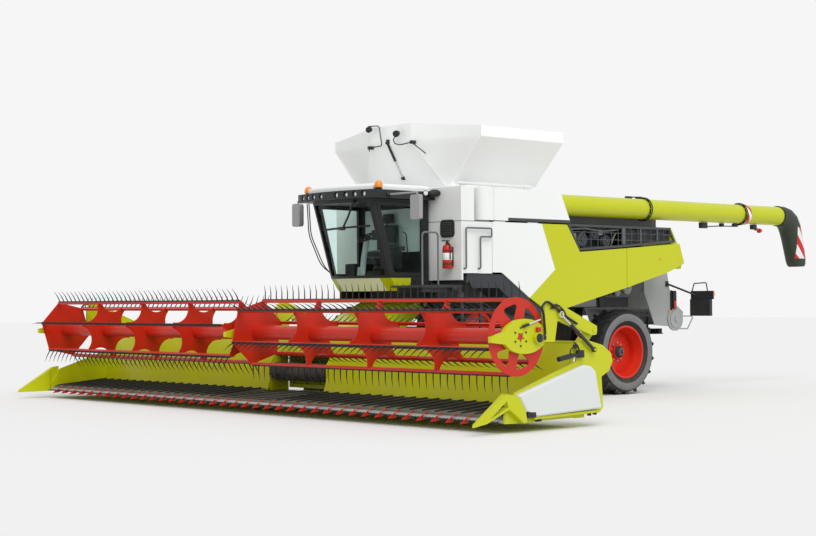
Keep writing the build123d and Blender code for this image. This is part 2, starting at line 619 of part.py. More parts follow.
# ---------------------------------------------------------------- side panels and fenders
# Outlines of the left side's panels as (y, z) corners; the right side mirrors them.
DOOR_FRONT_Y = 360
DOOR_TOP_Z = SHOULDER_Z
CHEVRON = [(1650, DOOR_TOP_Z), (2000, 2400), (1310, 1880)]
WHITE_PANEL = [(DOOR_FRONT_Y, DOOR_TOP_Z), (DOOR_FRONT_Y, 2330), (600, 2330)] + CHEVRON[::-1]
LIME_EDGE = [(1760, 1640), (2350, 1690), (4040, 2060), (4040, 2830), (2690, 2740), (2340, DOOR_TOP_Z)]
LIME_PANEL = CHEVRON + LIME_EDGE
SIDE_DOOR = WHITE_PANEL[:4] + LIME_EDGE  # both panels together: one door, hinged at its top edge
REAR_PANEL = [(4040, 2830), (4040, 2060), (5290, 2360), (5530, 2440), (5820, 2550), (5670, 2950)]
DOOR_BARREL = 9
DOOR_AXIS_X = BODY_HALF_WIDTH - DOOR_BARREL
DOOR_HINGES = [420, 1280]  # front ends of the door's hinges
DOOR_HINGE_LENGTH = 280


def skin(outline, region=None):
    # A body panel: its outline drawn in by half the shut gap, or the part of it in a region.
    face = offset(Polygon(*outline, align=None), -PANEL_GAP / 2, kind=Kind.INTERSECTION)
    if region:
        face &= Polygon(*region, align=None)
    return Pos(PANEL_INNER_X, 0, 0) * extrude(Plane.YZ * face, amount=PANEL_THICKNESS, dir=(1, 0, 0))


def white_panel():
    panel = skin(SIDE_DOOR, WHITE_PANEL)
    for y in DOOR_HINGES:
        panel += rod_y(DOOR_BARREL, y, y + DOOR_HINGE_LENGTH, DOOR_AXIS_X, DOOR_TOP_Z)
    return panel


def door_hinge_leaves():
    # Leaves on the deck's edge that end just short of the door's hinge barrels
    edge = DOOR_AXIS_X - DOOR_BARREL - SEAT
    return [box(DECK_EDGE_X - 1, edge, y + 20, y + DOOR_HINGE_LENGTH - 20, SHOULDER_Z - 1, SHOULDER_Z + 4)
            for y in DOOR_HINGES]


def fixed_corner_panel():
    return box(PANEL_INNER_X, BODY_HALF_WIDTH, 39, DOOR_FRONT_Y - PANEL_GAP / 2,
               HOUSING_LOW_TOP + 16, DOOR_TOP_Z - 6)


def track_fender():
    outline = [(-300, 2160), (-260, 2300), (590, 2300), (1270, 1870), (1720, 1610), (1690, 1550), (1230, 1800),
               (560, 2230), (-210, 2230), (-240, 2140)]
    cover = side_plate(outline, HOUSING_HALF_WIDTH + SEAT, BODY_HALF_WIDTH)
    skirt = [(-240, 2240), (560, 2240), (1230, 1810), (1690, 1560), (1640, 1470), (1130, 1640), (520, 2060), (-150, 2060)]
    return cover + side_plate(skirt, BODY_HALF_WIDTH - 35, BODY_HALF_WIDTH)


save_pair("side_panel_white", white_panel())
save_pair("side_panel_lime", skin(SIDE_DOOR, LIME_PANEL))
save("rear_panels", rear_panel() + skin(REAR_PANEL) + mirrored(skin(REAR_PANEL)))
save_both("track_fenders", track_fender())

# ---------------------------------------------------------------- cab
# Cab sections from the bottom up: z, front y at the corners, front bow
CAB_SECTIONS = [
    (CAB_SKIRT_Z, -1090, 120),
    (CAB_FLOOR_Z + 60, -1270, 170),
    (CAB_ROOF_Z, -1690, 170),
]


def cab_section(z, front_y, bow, inset):
    front_half = CAB_FRONT_HALF - inset
    rear_half = CAB_REAR_HALF - inset
    rear_y = CAB_REAR_Y - inset
    front_y += inset
    corners = [(front_half, front_y), (rear_half, rear_y), (-rear_half, rear_y), (-front_half, front_y)]
    sides = Polyline(*corners)
    front = ThreePointArc((-front_half, front_y), (0, front_y - bow), (front_half, front_y))
    return Pos(0, 0, z) * make_face([*sides.edges(), front.edge()])


def cab_solid(inset):
    lower = loft([cab_section(*CAB_SECTIONS[0], inset), cab_section(*CAB_SECTIONS[1], inset)], ruled=True)
    upper = loft([cab_section(*CAB_SECTIONS[1], inset), cab_section(*CAB_SECTIONS[2], inset)], ruled=True)
    return lower + upper


DOOR_GAP = 6
DOOR_HINGE_X = CAB_REAR_HALF + 3
DOOR_HINGE_Y = -532
CAB_HINGE_PIN = 6
CAB_BARREL_LENGTH = 90
CAB_DOOR_HINGES = [CAB_FLOOR_Z + 250, CAB_ROOF_Z - 250]
CAB_DOOR = [(-1235, CAB_FLOOR_Z + 75), (-520, CAB_FLOOR_Z + 75), (-520, CAB_ROOF_Z - 45), (-1590, CAB_ROOF_Z - 45)]


def side_prism(outline, grow, side):
    face = offset(Polygon(*outline, align=None), grow, kind=Kind.INTERSECTION)
    x_low = 500 if side > 0 else -1200
    return Pos(x_low, 0, 0) * extrude(Plane.YZ * face, amount=700, dir=(1, 0, 0))


def windscreen_prism(grow):
    half = CAB_FRONT_HALF - 75 + grow
    return box(-half, half, -2300, -1100, CAB_FLOOR_Z + 95 - grow, CAB_ROOF_Z - 60 + grow)


CAB_OUTSIDE = cab_solid(0)
CAB_INSIDE = cab_solid(CAB_WALL) & box(-1000, 1000, -2500, 0, CAB_FLOOR_Z, CAB_ROOF_Z - 40)
CAB_WALLS = CAB_OUTSIDE - CAB_INSIDE
GLASS_SHEET = cab_solid(24) - cab_solid(24 + GLASS)
DOOR_FRAME_WIDTH = 65


def cab_frame():
    frame = CAB_WALLS - windscreen_prism(0)
    frame -= side_prism(CAB_DOOR, DOOR_GAP, 1)
    frame -= side_prism(CAB_DOOR, -DOOR_FRAME_WIDTH, -1)
    # Lugs and pins of the door's two hinges
    x, y = DOOR_HINGE_X, DOOR_HINGE_Y
    for z in CAB_DOOR_HINGES:
        for z_low in (z - 15, z + CAB_BARREL_LENGTH + 1):
            frame += rod_z(9, z_low, z_low + 14, x, y)
            frame += box(x - 5, x + 9, y, y + 52, z_low, z_low + 14)
            frame += box(x - 20, x + 9, y + 24, y + 52, z_low, z_low + 14)
        frame += rod_z(CAB_HINGE_PIN, z - 15, z + CAB_BARREL_LENGTH + 15, x, y)
    return frame


def cab_door():
    door = CAB_WALLS & side_prism(CAB_DOOR, 0, 1)
    door -= side_prism(CAB_DOOR, -DOOR_FRAME_WIDTH, 1)
    for z in CAB_DOOR_HINGES:
        door += rod_z(16, z, z + CAB_BARREL_LENGTH, DOOR_HINGE_X, DOOR_HINGE_Y)
        door -= rod_z(CAB_HINGE_PIN + RUNNING_FIT, z - 1, z + CAB_BARREL_LENGTH + 1, DOOR_HINGE_X, DOOR_HINGE_Y)
    return door


def cab_glass():
    windscreen = GLASS_SHEET & windscreen_prism(-0.3)
    side = GLASS_SHEET & side_prism(CAB_DOOR, -DOOR_FRAME_WIDTH - 0.3, -1)
    return group([windscreen, side])


def cab_door_glass():
    return GLASS_SHEET & side_prism(CAB_DOOR, -DOOR_FRAME_WIDTH - 0.3, 1)


ROOF_HALF_WIDTH = 1040
ROOF_FRONT_Y = -1840
ROOF_SPLIT_Z = 3765
LAMP_RADIUS = 52
LAMP_XS = [-830, -640, -440, -210, 210, 440, 640, 830]
BEACON_X = 965
BEACON_Y = -1660


def roof_slab(half, front_y, bow, z_low, z_high):
    rear_y = BODY_FRONT_Y - 0.3
    sides = Polyline((half, front_y), (half, rear_y), (-half, rear_y), (-half, front_y))
    front = ThreePointArc((-half, front_y), (0, front_y - bow), (half, front_y))
    face = make_face([*sides.edges(), front.edge()])
    return Pos(0, 0, z_low) * extrude(face, amount=z_high - z_low, dir=(0, 0, 1))


def lamp_seat_y(x):
    # The visor's bowed front face, as a parabola close to its arc.
    return ROOF_FRONT_Y - 160 * (1 - (x / ROOF_HALF_WIDTH) ** 2) + 55


def cab_roof():
    roof = roof_slab(ROOF_HALF_WIDTH, ROOF_FRONT_Y, 160, CAB_ROOF_Z + 0.3, ROOF_SPLIT_Z)
    for x in LAMP_XS:
        roof -= rod_y(LAMP_RADIUS + 0.3, lamp_seat_y(x) - 200, lamp_seat_y(x), x, CAB_ROOF_Z + 72)
    return roof


def roof_cap():
    cap = roof_slab(ROOF_HALF_WIDTH - 150, ROOF_FRONT_Y + 120, 130, ROOF_SPLIT_Z, CAB_TOP_Z)
    return fillet(cap.faces().sort_by(Axis.Z)[-1].edges(), 60)


def work_lamps():
    return group([rod_y(LAMP_RADIUS, lamp_seat_y(x) - 70, lamp_seat_y(x) - 0.3, x, CAB_ROOF_Z + 72) for x in LAMP_XS])


def beacons():
    return group([rod_z(58, ROOF_SPLIT_Z, ROOF_SPLIT_Z + 165, x, BEACON_Y) for x in (-BEACON_X, BEACON_X)])


MIRROR_Y = -1500
# Which side each mirror is on, and how far out its head stands
MIRROR_HEADS = [(-1, 1470), (1, 1770)]


def mirrors():
    arms = []
    arm_z = CAB_ROOF_Z + 60
    for side, reach in MIRROR_HEADS:
        x = side * reach
        arm = rod_between(18, (side * (ROOF_HALF_WIDTH + 0.3), MIRROR_Y, arm_z), (x, MIRROR_Y, arm_z))
        arm += rod_z(18, arm_z - 430, arm_z + 18, x, MIRROR_Y)
        shell = box(x - 110, x + 110, MIRROR_Y - 60, MIRROR_Y + 25, arm_z - 460, arm_z - 40)
        arms.append(arm + fillet(shell.edges().filter_by(Axis.Y), 40))
    return group(arms)


def cab_seat():
    seat = box(-260, 260, -1000, -515, CAB_FLOOR_Z + 420, CAB_FLOOR_Z + 540)
    back = side_plate([(-620, 2730), (-520, 2730), (-505, 3340), (-600, 3340)], -240, 240)
    base = box(-180, 180, -950, -600, CAB_FLOOR_Z, 2630)
    rest = box(270, 370, -1080, -640, CAB_FLOOR_Z + 600, CAB_FLOOR_Z + 680)
    return seat + back + base + box(240, 280, -900, -800, 2640, 2860) + rest


def steering_column():
    column = rod_z(45, CAB_FLOOR_Z, 2985, 0, -1190)
    wheel = Pos(0, -1190, 2985) * Rot(-18, 0, 0) * (Torus(190, 16) + Box(370, 40, 18) + Cylinder(50, 30))
    return column + wheel


save("cab_frame", cab_frame())
save("cab_door", cab_door())
save("cab_door_glass", cab_door_glass())
save("cab_glass", cab_glass())
save("cab_roof", group([cab_roof(), roof_cap()]))
save("lamps", group([work_lamps(), beacons()]))
save("mirrors", mirrors())
save("cab_interior", group([cab_seat(), steering_column()]))

# ---------------------------------------------------------------- platform, rails, ladder
PLATFORM_Z = 2110
PLATFORM_FRONT_Y = -1340
LADDER_X = BODY_HALF_WIDTH + 100
LADDER_HINGE_Y = -560


def platform():
    leg_y = BODY_FRONT_Y + 60 - SEAT
    deck = box(CAB_REAR_HALF + 5, BODY_HALF_WIDTH, PLATFORM_FRONT_Y, BODY_FRONT_Y - 0.3, PLATFORM_Z - 40, PLATFORM_Z)
    for x in (1000, 1600):
        deck += box(x - 30, x + 30, PLATFORM_FRONT_Y + 90, leg_y, PLATFORM_Z - 120, PLATFORM_Z - 39)
        deck += box(x - 30, x + 30, leg_y - 60, leg_y, OUTRIGGER_Z, PLATFORM_Z - 39)
    # Bracket with the ladder's hinge pin
    deck += box(BODY_HALF_WIDTH - 1, LADDER_X - 20, LADDER_HINGE_Y - 40, LADDER_HINGE_Y + 40, PLATFORM_Z - 120, PLATFORM_Z - 80)
    deck += box(BODY_HALF_WIDTH - 40, BODY_HALF_WIDTH, LADDER_HINGE_Y - 40, LADDER_HINGE_Y + 40, PLATFORM_Z - 120, PLATFORM_Z - 39)
    deck += rod_z(40, PLATFORM_Z - 120, PLATFORM_Z - 80, LADDER_X, LADDER_HINGE_Y)
    return deck + rod_z(16, PLATFORM_Z - 220, PLATFORM_Z - 80, LADDER_X, LADDER_HINGE_Y)


RAIL_TUBE = 16


def handrails():
    deck_x = BODY_HALF_WIDTH - 25
    front_y = PLATFORM_FRONT_Y + 35
    front = tube_route([(deck_x, front_y, PLATFORM_Z), (deck_x, front_y, 3015), (deck_x, front_y + 370, 3015),
                        (deck_x, front_y + 370, PLATFORM_Z)], 70, RAIL_TUBE)
    wall_x = BODY_HALF_WIDTH + 0.3
    rail_x = BODY_HALF_WIDTH + 60
    loop = tube_route([(wall_x, -340, 2400), (rail_x, -340, 2400), (rail_x, -340, 3110), (rail_x, 290, 3110),
                       (rail_x, 290, 2960), (rail_x, 10, 2960), (rail_x, 10, 2400), (wall_x, 10, 2400)], 35, RAIL_TUBE)
    return group([front, loop])


def access_ladder():
    rails = []
    for y in (LADDER_HINGE_Y + 70, LADDER_HINGE_Y + 520):
        rails.append(box(LADDER_X - 15, LADDER_X + 15, y - 30, y + 30, 560, PLATFORM_Z - 130))
    for index in range(5):
        z = 600 + index * 300
        rails.append(box(LADDER_X - 40, LADDER_X + 90, LADDER_HINGE_Y + 70, LADDER_HINGE_Y + 520, z, z + 30))
    ladder = Part() + rails
    ladder += box(LADDER_X - 15, LADDER_X + 15, LADDER_HINGE_Y, LADDER_HINGE_Y + 70, PLATFORM_Z - 215, PLATFORM_Z - 130)
    ladder += rod_z(40, PLATFORM_Z - 215, PLATFORM_Z - 130, LADDER_X, LADDER_HINGE_Y)
    return ladder - rod_z(16 + RUNNING_FIT, PLATFORM_Z - 230, PLATFORM_Z - 100, LADDER_X, LADDER_HINGE_Y)


save("platform", group([platform(), handrails()]))
save("access_ladder", access_ladder())

# ---------------------------------------------------------------- unloading auger
FAIRING_TOP_Z = 3832
FAIRING_LOW_Z = 3262
TURRET_RADIUS = 150


def auger_turret():
    # Fixed ring on the shoulder deck that the auger swings on
    return rod_z(TURRET_RADIUS, SHOULDER_Z, FAIRING_LOW_Z - 6, AUGER_X, AUGER_PIVOT_Y) + rod_z(
        60, SHOULDER_Z, FAIRING_LOW_Z + 60, AUGER_X, AUGER_PIVOT_Y)


def auger_tube():
    tube = rod_y(AUGER_RADIUS, 2050, AUGER_TIP_Y, AUGER_X, AUGER_Z)
    tube -= rod_y(AUGER_RADIUS - 8, 2060, AUGER_TIP_Y + 1, AUGER_X, AUGER_Z)
    for y in (4760, 7890):
        tube += rod_y(AUGER_RADIUS + 16, y, y + 40, AUGER_X, AUGER_Z) - rod_y(AUGER_RADIUS - 8, y - 1, y + 41, AUGER_X, AUGER_Z)
    return tube


def auger_fairing():
    half = FAIRING_HALF_WIDTH
    plan = Pos(AUGER_X, AUGER_PIVOT_Y) * Circle(half) + Pos(AUGER_X, (AUGER_PIVOT_Y + 2420) / 2) * Rectangle(2 * half, 2420 - AUGER_PIVOT_Y)
    body = Pos(0, 0, FAIRING_LOW_Z) * extrude(plan, amount=FAIRING_TOP_Z - FAIRING_LOW_Z)
    # The rear end is cut on a slant
    body -= side_plate([(2150, FAIRING_TOP_Z + 1), (2430, FAIRING_LOW_Z - 1), (2500, FAIRING_LOW_Z - 1), (2500, FAIRING_TOP_Z + 1)],
                       AUGER_X - half - 1, AUGER_X + half + 1)
    body -= rod_y(AUGER_RADIUS + 0.3, 2049.7, 2500, AUGER_X, AUGER_Z)
    return body - rod_z(60 + RUNNING_FIT, FAIRING_LOW_Z - 1, FAIRING_LOW_Z + 61, AUGER_X, AUGER_PIVOT_Y)


def auger_spout():
    outline = [(AUGER_TIP_Y + 0.3, 3380), (AUGER_TIP_Y + 0.3, 3825), (9560, 3800), (9960, 3520), (10250, 2950), (REAR_REACH, 2700),
               (10180, 2500), (9680, 2450)]
    spout = side_plate(outline, AUGER_X - 225, AUGER_X + 225)
    inner = [(AUGER_TIP_Y, 3410), (AUGER_TIP_Y, 3795), (9545, 3770), (9935, 3500), (10225, 2935), (10310, 2650), (10250, 2300), (9650, 2300)]
    return spout - side_plate(inner, AUGER_X - 205, AUGER_X + 205)


corners = fixed_corner_panel() + mirrored(fixed_corner_panel())
save("upper_body", front_wall() + corners + side_shoulder() + auger_turret())
save("auger_tube", auger_tube())
save("auger_fairing", auger_fairing())
save("auger_spout", auger_spout())

# ---------------------------------------------------------------- grain tank covers
SIDE_COVER_LENGTH = 1050
SIDE_COVER_LIP = 190
SIDE_COVER_ANGLE = 47
SIDE_HINGE_Z = TANK_RIM_Z + 55
SIDE_HINGE_X = TANK_HALF_WIDTH - 5
SIDE_BARREL = 30
END_BARREL = 18
END_COVER_RUN = 402  # from hinge to fold, along the machine and up
END_COVER_RISE = 930
END_COVER_LIP = 340
END_HINGE_INSET = TANK_WALL + 60  # behind the tank wall's outer face
END_HINGE_Z = TANK_RIM_Z - 120
REAR_COVER_DROP = 190  # the rear cover folds down under the front one
FRONT_HINGE_Y = TANK_FRONT_Y + END_HINGE_INSET
REAR_HINGE_Y = TANK_REAR_Y - END_HINGE_INSET - REAR_COVER_DROP * END_COVER_RUN / END_COVER_RISE
REAR_HINGE_Z = END_HINGE_Z - REAR_COVER_DROP
END_COVER_BASE = 1190  # half widths of the front and rear covers at hinge and fold
END_COVER_TOP = 560


def side_cover():
    # Leans outward; the lip stands upright when the tank is open.
    angle = math.radians(SIDE_COVER_ANGLE)
    hinge = (SIDE_HINGE_X, SIDE_HINGE_Z)
    fold = (hinge[0] + SIDE_COVER_LENGTH * math.cos(angle), hinge[1] + SIDE_COVER_LENGTH * math.sin(angle))
    across = (-COVER_THICKNESS * math.sin(angle), COVER_THICKNESS * math.cos(angle))
    outline = [hinge, fold, (fold[0], fold[1] + SIDE_COVER_LIP), (fold[0] - COVER_THICKNESS, fold[1] + SIDE_COVER_LIP),
               (fold[0] - COVER_THICKNESS, fold[1] + COVER_THICKNESS * 0.6), (hinge[0] + across[0], hinge[1] + across[1])]
    panel = front_plate(outline, TANK_FRONT_Y + 30, TANK_REAR_Y - 30)
    return panel + rod_y(SIDE_BARREL, TANK_FRONT_Y + 120, TANK_REAR_Y - 120, *hinge)


def end_cover():
    # A tapered cover that leans forward from a hinge on the X axis; its lip stands upright.
    angle = math.atan2(END_COVER_RISE, END_COVER_RUN)
    fold_y = -END_COVER_RUN
    profile = [(0, 0), (fold_y, END_COVER_RISE), (fold_y, END_COVER_RISE + END_COVER_LIP),
               (fold_y + COVER_THICKNESS, END_COVER_RISE + END_COVER_LIP), (fold_y + COVER_THICKNESS, END_COVER_RISE + 5),
               (COVER_THICKNESS * math.sin(angle), COVER_THICKNESS * math.cos(angle))]
    panel = side_plate(profile, -END_COVER_BASE, END_COVER_BASE)
    lip_z = END_COVER_RISE + END_COVER_LIP + 10
    view = [(-END_COVER_BASE, -10), (END_COVER_BASE, -10), (END_COVER_TOP, END_COVER_RISE), (END_COVER_TOP, lip_z),
            (-END_COVER_TOP, lip_z), (-END_COVER_TOP, END_COVER_RISE)]
    panel &= front_plate(view, -2000, 2000)
    return panel + rod_x(END_BARREL, -END_COVER_BASE + 40, END_COVER_BASE - 40, 0, 0)


def front_cover():
    return Pos(0, FRONT_HINGE_Y, END_HINGE_Z) * end_cover()


def rear_cover():
    return Pos(0, REAR_HINGE_Y, REAR_HINGE_Z) * Rot(0, 0, 180) * end_cover()


def cover_hinge_seats():
    # Posts on the rim under the side covers' barrels, and brackets inside the end walls
    seats = Part()
    for y in (TANK_FRONT_Y + 200, TANK_REAR_Y - 320, (TANK_FRONT_Y + TANK_REAR_Y) / 2 - 60):
        post = box(TANK_HALF_WIDTH - 18, TANK_HALF_WIDTH, y, y + 120, TANK_RIM_Z - 1, SIDE_HINGE_Z - SIDE_BARREL - SEAT)
        seats += [post, mirrored(post)]
    for x in (-1100, -100, 900):
        seats += box(x, x + 200, TANK_FRONT_Y + TANK_WALL - 1, FRONT_HINGE_Y - 5, END_HINGE_Z - 50, END_HINGE_Z - END_BARREL)
        seats += box(x, x + 200, REAR_HINGE_Y + 5, TANK_REAR_Y - TANK_WALL + 1, REAR_HINGE_Z - 50, REAR_HINGE_Z - END_BARREL)
    return seats


save("grain_tank", grain_tank() + cover_hinge_seats())
save_pair("tank_cover", side_cover())
save("tank_cover_front", front_cover())
save("tank_cover_rear", rear_cover())

# ---------------------------------------------------------------- feeder house and header
FEEDER_MOUTH_Y = -2285
FEEDER_LOW_Z = 330
FEEDER_TOP_Z = 1050
LIFT_EYE_Y = -1500
LIFT_EYE_Z = 820
LIFT_EYE_PIN = 28


def feeder_house():
    outline = [(FEEDER_MOUTH_Y, FEEDER_LOW_Z), (FEEDER_MOUTH_Y, FEEDER_TOP_Z), (FEEDER_HINGE_Y - 60, FEEDER_HINGE_Z + 85),
               (FEEDER_HINGE_Y, FEEDER_HINGE_Z), (FEEDER_HINGE_Y + 20, FEEDER_HINGE_Z - 95)]
    half = FEEDER_HALF_WIDTH
    house = side_plate(outline, -half, half) + rod_x(100, -half, half, FEEDER_HINGE_Y, FEEDER_HINGE_Z)
    house += rod_x(FEEDER_PIN_RADIUS, -half - 70, half + 70, FEEDER_HINGE_Y, FEEDER_HINGE_Z)
    # Saddle that the header's top beam hangs on
    beam_low = TOP_BEAM_Z - TOP_BEAM_SIZE / 2 - SEAT
    house += box(-half + 60, half - 60, FEEDER_MOUTH_Y - 110, FEEDER_MOUTH_Y + 1, FEEDER_TOP_Z - 40, beam_low)
    # Open mouth toward the header, sloping up with the house
    mouth = [(FEEDER_MOUTH_Y - 1, FEEDER_LOW_Z + 60), (FEEDER_MOUTH_Y - 1, FEEDER_TOP_Z - 60), (-1700, 1255), (-1700, 825)]
    house -= side_plate(mouth, -half + 40, half - 40)
    # Twin lugs and pin for each lift cylinder's eye
    lug = [(LIFT_EYE_Y - 45, LIFT_EYE_Z - 40), (LIFT_EYE_Y + 45, LIFT_EYE_Z - 40), (LIFT_EYE_Y + 180, 1100),
           (LIFT_EYE_Y - 200, 900)]
    reach = LIFT_HALF_GAP + LIFT_LUG
    for x in (-LIFT_X, LIFT_X):
        for x_low in (x - reach, x + LIFT_HALF_GAP):
            house += side_plate(lug, x_low, x_low + LIFT_LUG)
        house += rod_x(LIFT_EYE_PIN, x - reach, x + reach, LIFT_EYE_Y, LIFT_EYE_Z)
    return house


DRUM_Y = -2560
DRUM_Z = 625
DRUM_RADIUS = 160
DRUM_HALF_WIDTH = 740
DRUM_SHAFT = 35
LOWER_BEAM_Z = 140
PAN_TOP_Z = 160
REEL_PIVOT_Y = -2100
REEL_PIVOT_Z = 1400
REEL_PIN = 30
REEL_LIFT_X = CUT_HALF_WIDTH + 82
REEL_LIFT_PIN_Y = -2150
REEL_LIFT_PIN_Z = 1120
REEL_LIFT_EYE_Y = -2850
REEL_LIFT_EYE_Z = 1640
REEL_LIFT_PIN = 16
END_PIVOT_X = CUT_HALF_WIDTH - 75


def header_frame():
    half = CUT_HALF_WIDTH
    rear = FEEDER_MOUTH_Y
    front = rear - TOP_BEAM_SIZE
    frame = box(-half, half, front, rear, TOP_BEAM_Z - TOP_BEAM_SIZE / 2, TOP_BEAM_Z + TOP_BEAM_SIZE / 2)
    frame += box(-half, half, front, rear, LOWER_BEAM_Z, LOWER_BEAM_Z + 150)
    for x in (-5200, -3900, -2600, -1300, 1300, 2600, 3900, 5200):
        frame += box(x - 50, x + 50, front + 60, rear, LOWER_BEAM_Z + 100, TOP_BEAM_Z)
    # Slanted back sheet with the crop inlet cut out in the middle
    sheet = side_plate([(BACK_SHEET_Y, 300), (BACK_SHEET_Y + 15, 300), (front + 30, TOP_BEAM_Z), (front - 5, TOP_BEAM_Z + 60)],
                       -half, half)
    frame += sheet - box(-775, 775, -3000, -2000, 290, 960)
    # Floor pan below the belts
    frame += side_plate([(KNIFE_Y + 90, 140), (KNIFE_Y + 90, PAN_TOP_Z), (front + 10, LOWER_BEAM_Z + 60), (front + 10, LOWER_BEAM_Z + 10)],
                        -half, half)
    for side in (-1, 1):
        # Cheeks that carry the intake drum's shaft
        cheek = side_plate([(-2700, 300), (-2700, 760), (-2560, 960), (front + 10, 1060), (rear, 1060), (rear, 280)],
                           775, 790)
        frame += cheek if side > 0 else mirrored(cheek)
        frame -= rod_x(DRUM_SHAFT + RUNNING_FIT, min(side * 774, side * 791), max(side * 774, side * 791), DRUM_Y, DRUM_Z)
    end_sheet = [(KNIFE_Y + 20, 140), (KNIFE_Y + 20, 250), (-3750, 560), (-2480, 960), (-2470, 1245), (-2250, 1262), (-1900, 1180),
                 (-1720, 1060), (-1680, 940), (-1760, 800), (-1930, 720), (-1900, 270), (-1960, 210), (-3500, 130)]
    for sheet in (side_plate(end_sheet, half, half + END_SHEET), side_plate(end_sheet, -half - END_SHEET, -half)):
        frame += sheet
    # Pivot plates and pins of the reel arms: two at the ends, a pair in the middle
    pivot = [(front + 80, 1100), (front + 80, 1240), (REEL_PIVOT_Y - 60, REEL_PIVOT_Z + 60), (REEL_PIVOT_Y + 60, REEL_PIVOT_Z + 60),
             (REEL_PIVOT_Y + 60, REEL_PIVOT_Z - 60), (rear - 20, 1100)]
    for x_low, x_high in ((-END_PIVOT_X - 45, -END_PIVOT_X), (END_PIVOT_X, END_PIVOT_X + 45), (-110, -60), (60, 110)):
        frame += side_plate(pivot, x_low, x_high)
    frame += rod_x(REEL_PIN, -110, 110, REEL_PIVOT_Y, REEL_PIVOT_Z)
    for x_low, x_high in ((-ARM_OUT_X - 10, -END_PIVOT_X - 1), (END_PIVOT_X + 1, ARM_OUT_X + 10)):
        frame += rod_x(REEL_PIN, x_low, x_high, REEL_PIVOT_Y, REEL_PIVOT_Z)
    # Pins of the reel lift cylinders
    for x_low, x_high in ((-REEL_LIFT_X - 30, -half - 1), (half + 1, REEL_LIFT_X + 30)):
        frame += rod_x(REEL_LIFT_PIN, x_low, x_high, REEL_LIFT_PIN_Y, REEL_LIFT_PIN_Z)
    return frame


ARM_IN_X = CUT_HALF_WIDTH - 20
ARM_OUT_X = CUT_HALF_WIDTH + 40
COVER_OUT_X = CUT_HALF_WIDTH + 115


def header_end_cover():
    outline = [(-3760, 530), (-2380, 905), (-2230, 880), (-2140, 810), (-2010, 265), (-3380, 215), (-3600, 290)]
    cover = side_plate(outline, CUT_HALF_WIDTH + END_SHEET + 0.3, COVER_OUT_X, 25)
    return chamfer(cover.faces().sort_by(Axis.X)[-1].edges(), 22)


DIVIDER_TIP_X = CUT_HALF_WIDTH + 92
DIVIDER_TOP_Y = KNIFE_Y - 10
DIVIDER_BAR = 46  # depth of the open divider's upper bar


def divider_blank(outline):
    # Narrows in plan from the end cover to the tip, and leaves room for the cover's nose.
    divider = side_plate(outline, CUT_HALF_WIDTH, COVER_OUT_X)
    inner = CUT_HALF_WIDTH + END_SHEET + SEAT
    plan = Polygon((DIVIDER_TIP_X - 22, -FRONT_REACH - 1), (DIVIDER_TIP_X + 3, -FRONT_REACH - 1), (COVER_OUT_X, -3700),
                   (COVER_OUT_X, -3600), (inner, -3600), (inner, KNIFE_Y + 20), (CUT_HALF_WIDTH, KNIFE_Y), align=None)
    divider &= extrude(plan, amount=1000, dir=(0, 0, 1))
    cover_cut = [(-3770, 530), (-3770, 700), (-3500, 700), (-3500, 200), (-3380, 210), (-3610, 285)]
    return divider - side_plate(cover_cut, CUT_HALF_WIDTH - 1, COVER_OUT_X + 1)


def open_divider():
    # Left: a slim triangle of bars with a strut down to the skid
    tip, top = -FRONT_REACH, DIVIDER_TOP_Y
    outline = [(tip, 128), (tip + 10, 172), (top, 556), (top + 65, 548), (-3790, 512), (-3640, 540), (-3630, 330),
               (-3600, 170), (-3650, 135), (top + 50, 345), (top + 0.6 * (tip - top), 168)]
    opening = [(top + 0.5 * (tip - top), 275 - DIVIDER_BAR), (top, 556 - 2 * DIVIDER_BAR), (top + 30, 375)]
    return divider_blank(outline) - side_plate(opening, CUT_HALF_WIDTH - 1, COVER_OUT_X + 1)


def closed_divider():
    # Right: a closed panel of the same height
    outline = [(-FRONT_REACH, 128), (-FRONT_REACH + 30, 178), (DIVIDER_TOP_Y + 90, 590), (-3700, 620), (-3640, 560),
               (-3790, 300), (-3700, 135)]
    return mirrored(divider_blank(outline))


LIFTER_PITCH = 305
LIFTER_COUNT = 2 * int((CUT_HALF_WIDTH - 375) / LIFTER_PITCH) + 1


def cutterbar():
    half = CUT_HALF_WIDTH - 0.3
    bar = side_plate([(KNIFE_Y, 150), (KNIFE_Y + 89.7, 140), (KNIFE_Y + 89.7, 195), (KNIFE_Y + 20, 180)], -half, half)
    lifters = []
    for index in range(LIFTER_COUNT):
        x = (index - (LIFTER_COUNT - 1) / 2) * LIFTER_PITCH
        finger = side_plate([(KNIFE_Y - 150, 112), (KNIFE_Y - 20, 118), (KNIFE_Y + 30, 142), (KNIFE_Y + 30, 170),
                             (KNIFE_Y - 60, 138), (KNIFE_Y + 86, 232), (KNIFE_Y + 82, 242), (KNIFE_Y - 100, 148)], x - 9, x + 9)
        lifters.append(finger)
    return bar + lifters


BELT_RIB_PITCH = 270
BELT_RIB_START = 930


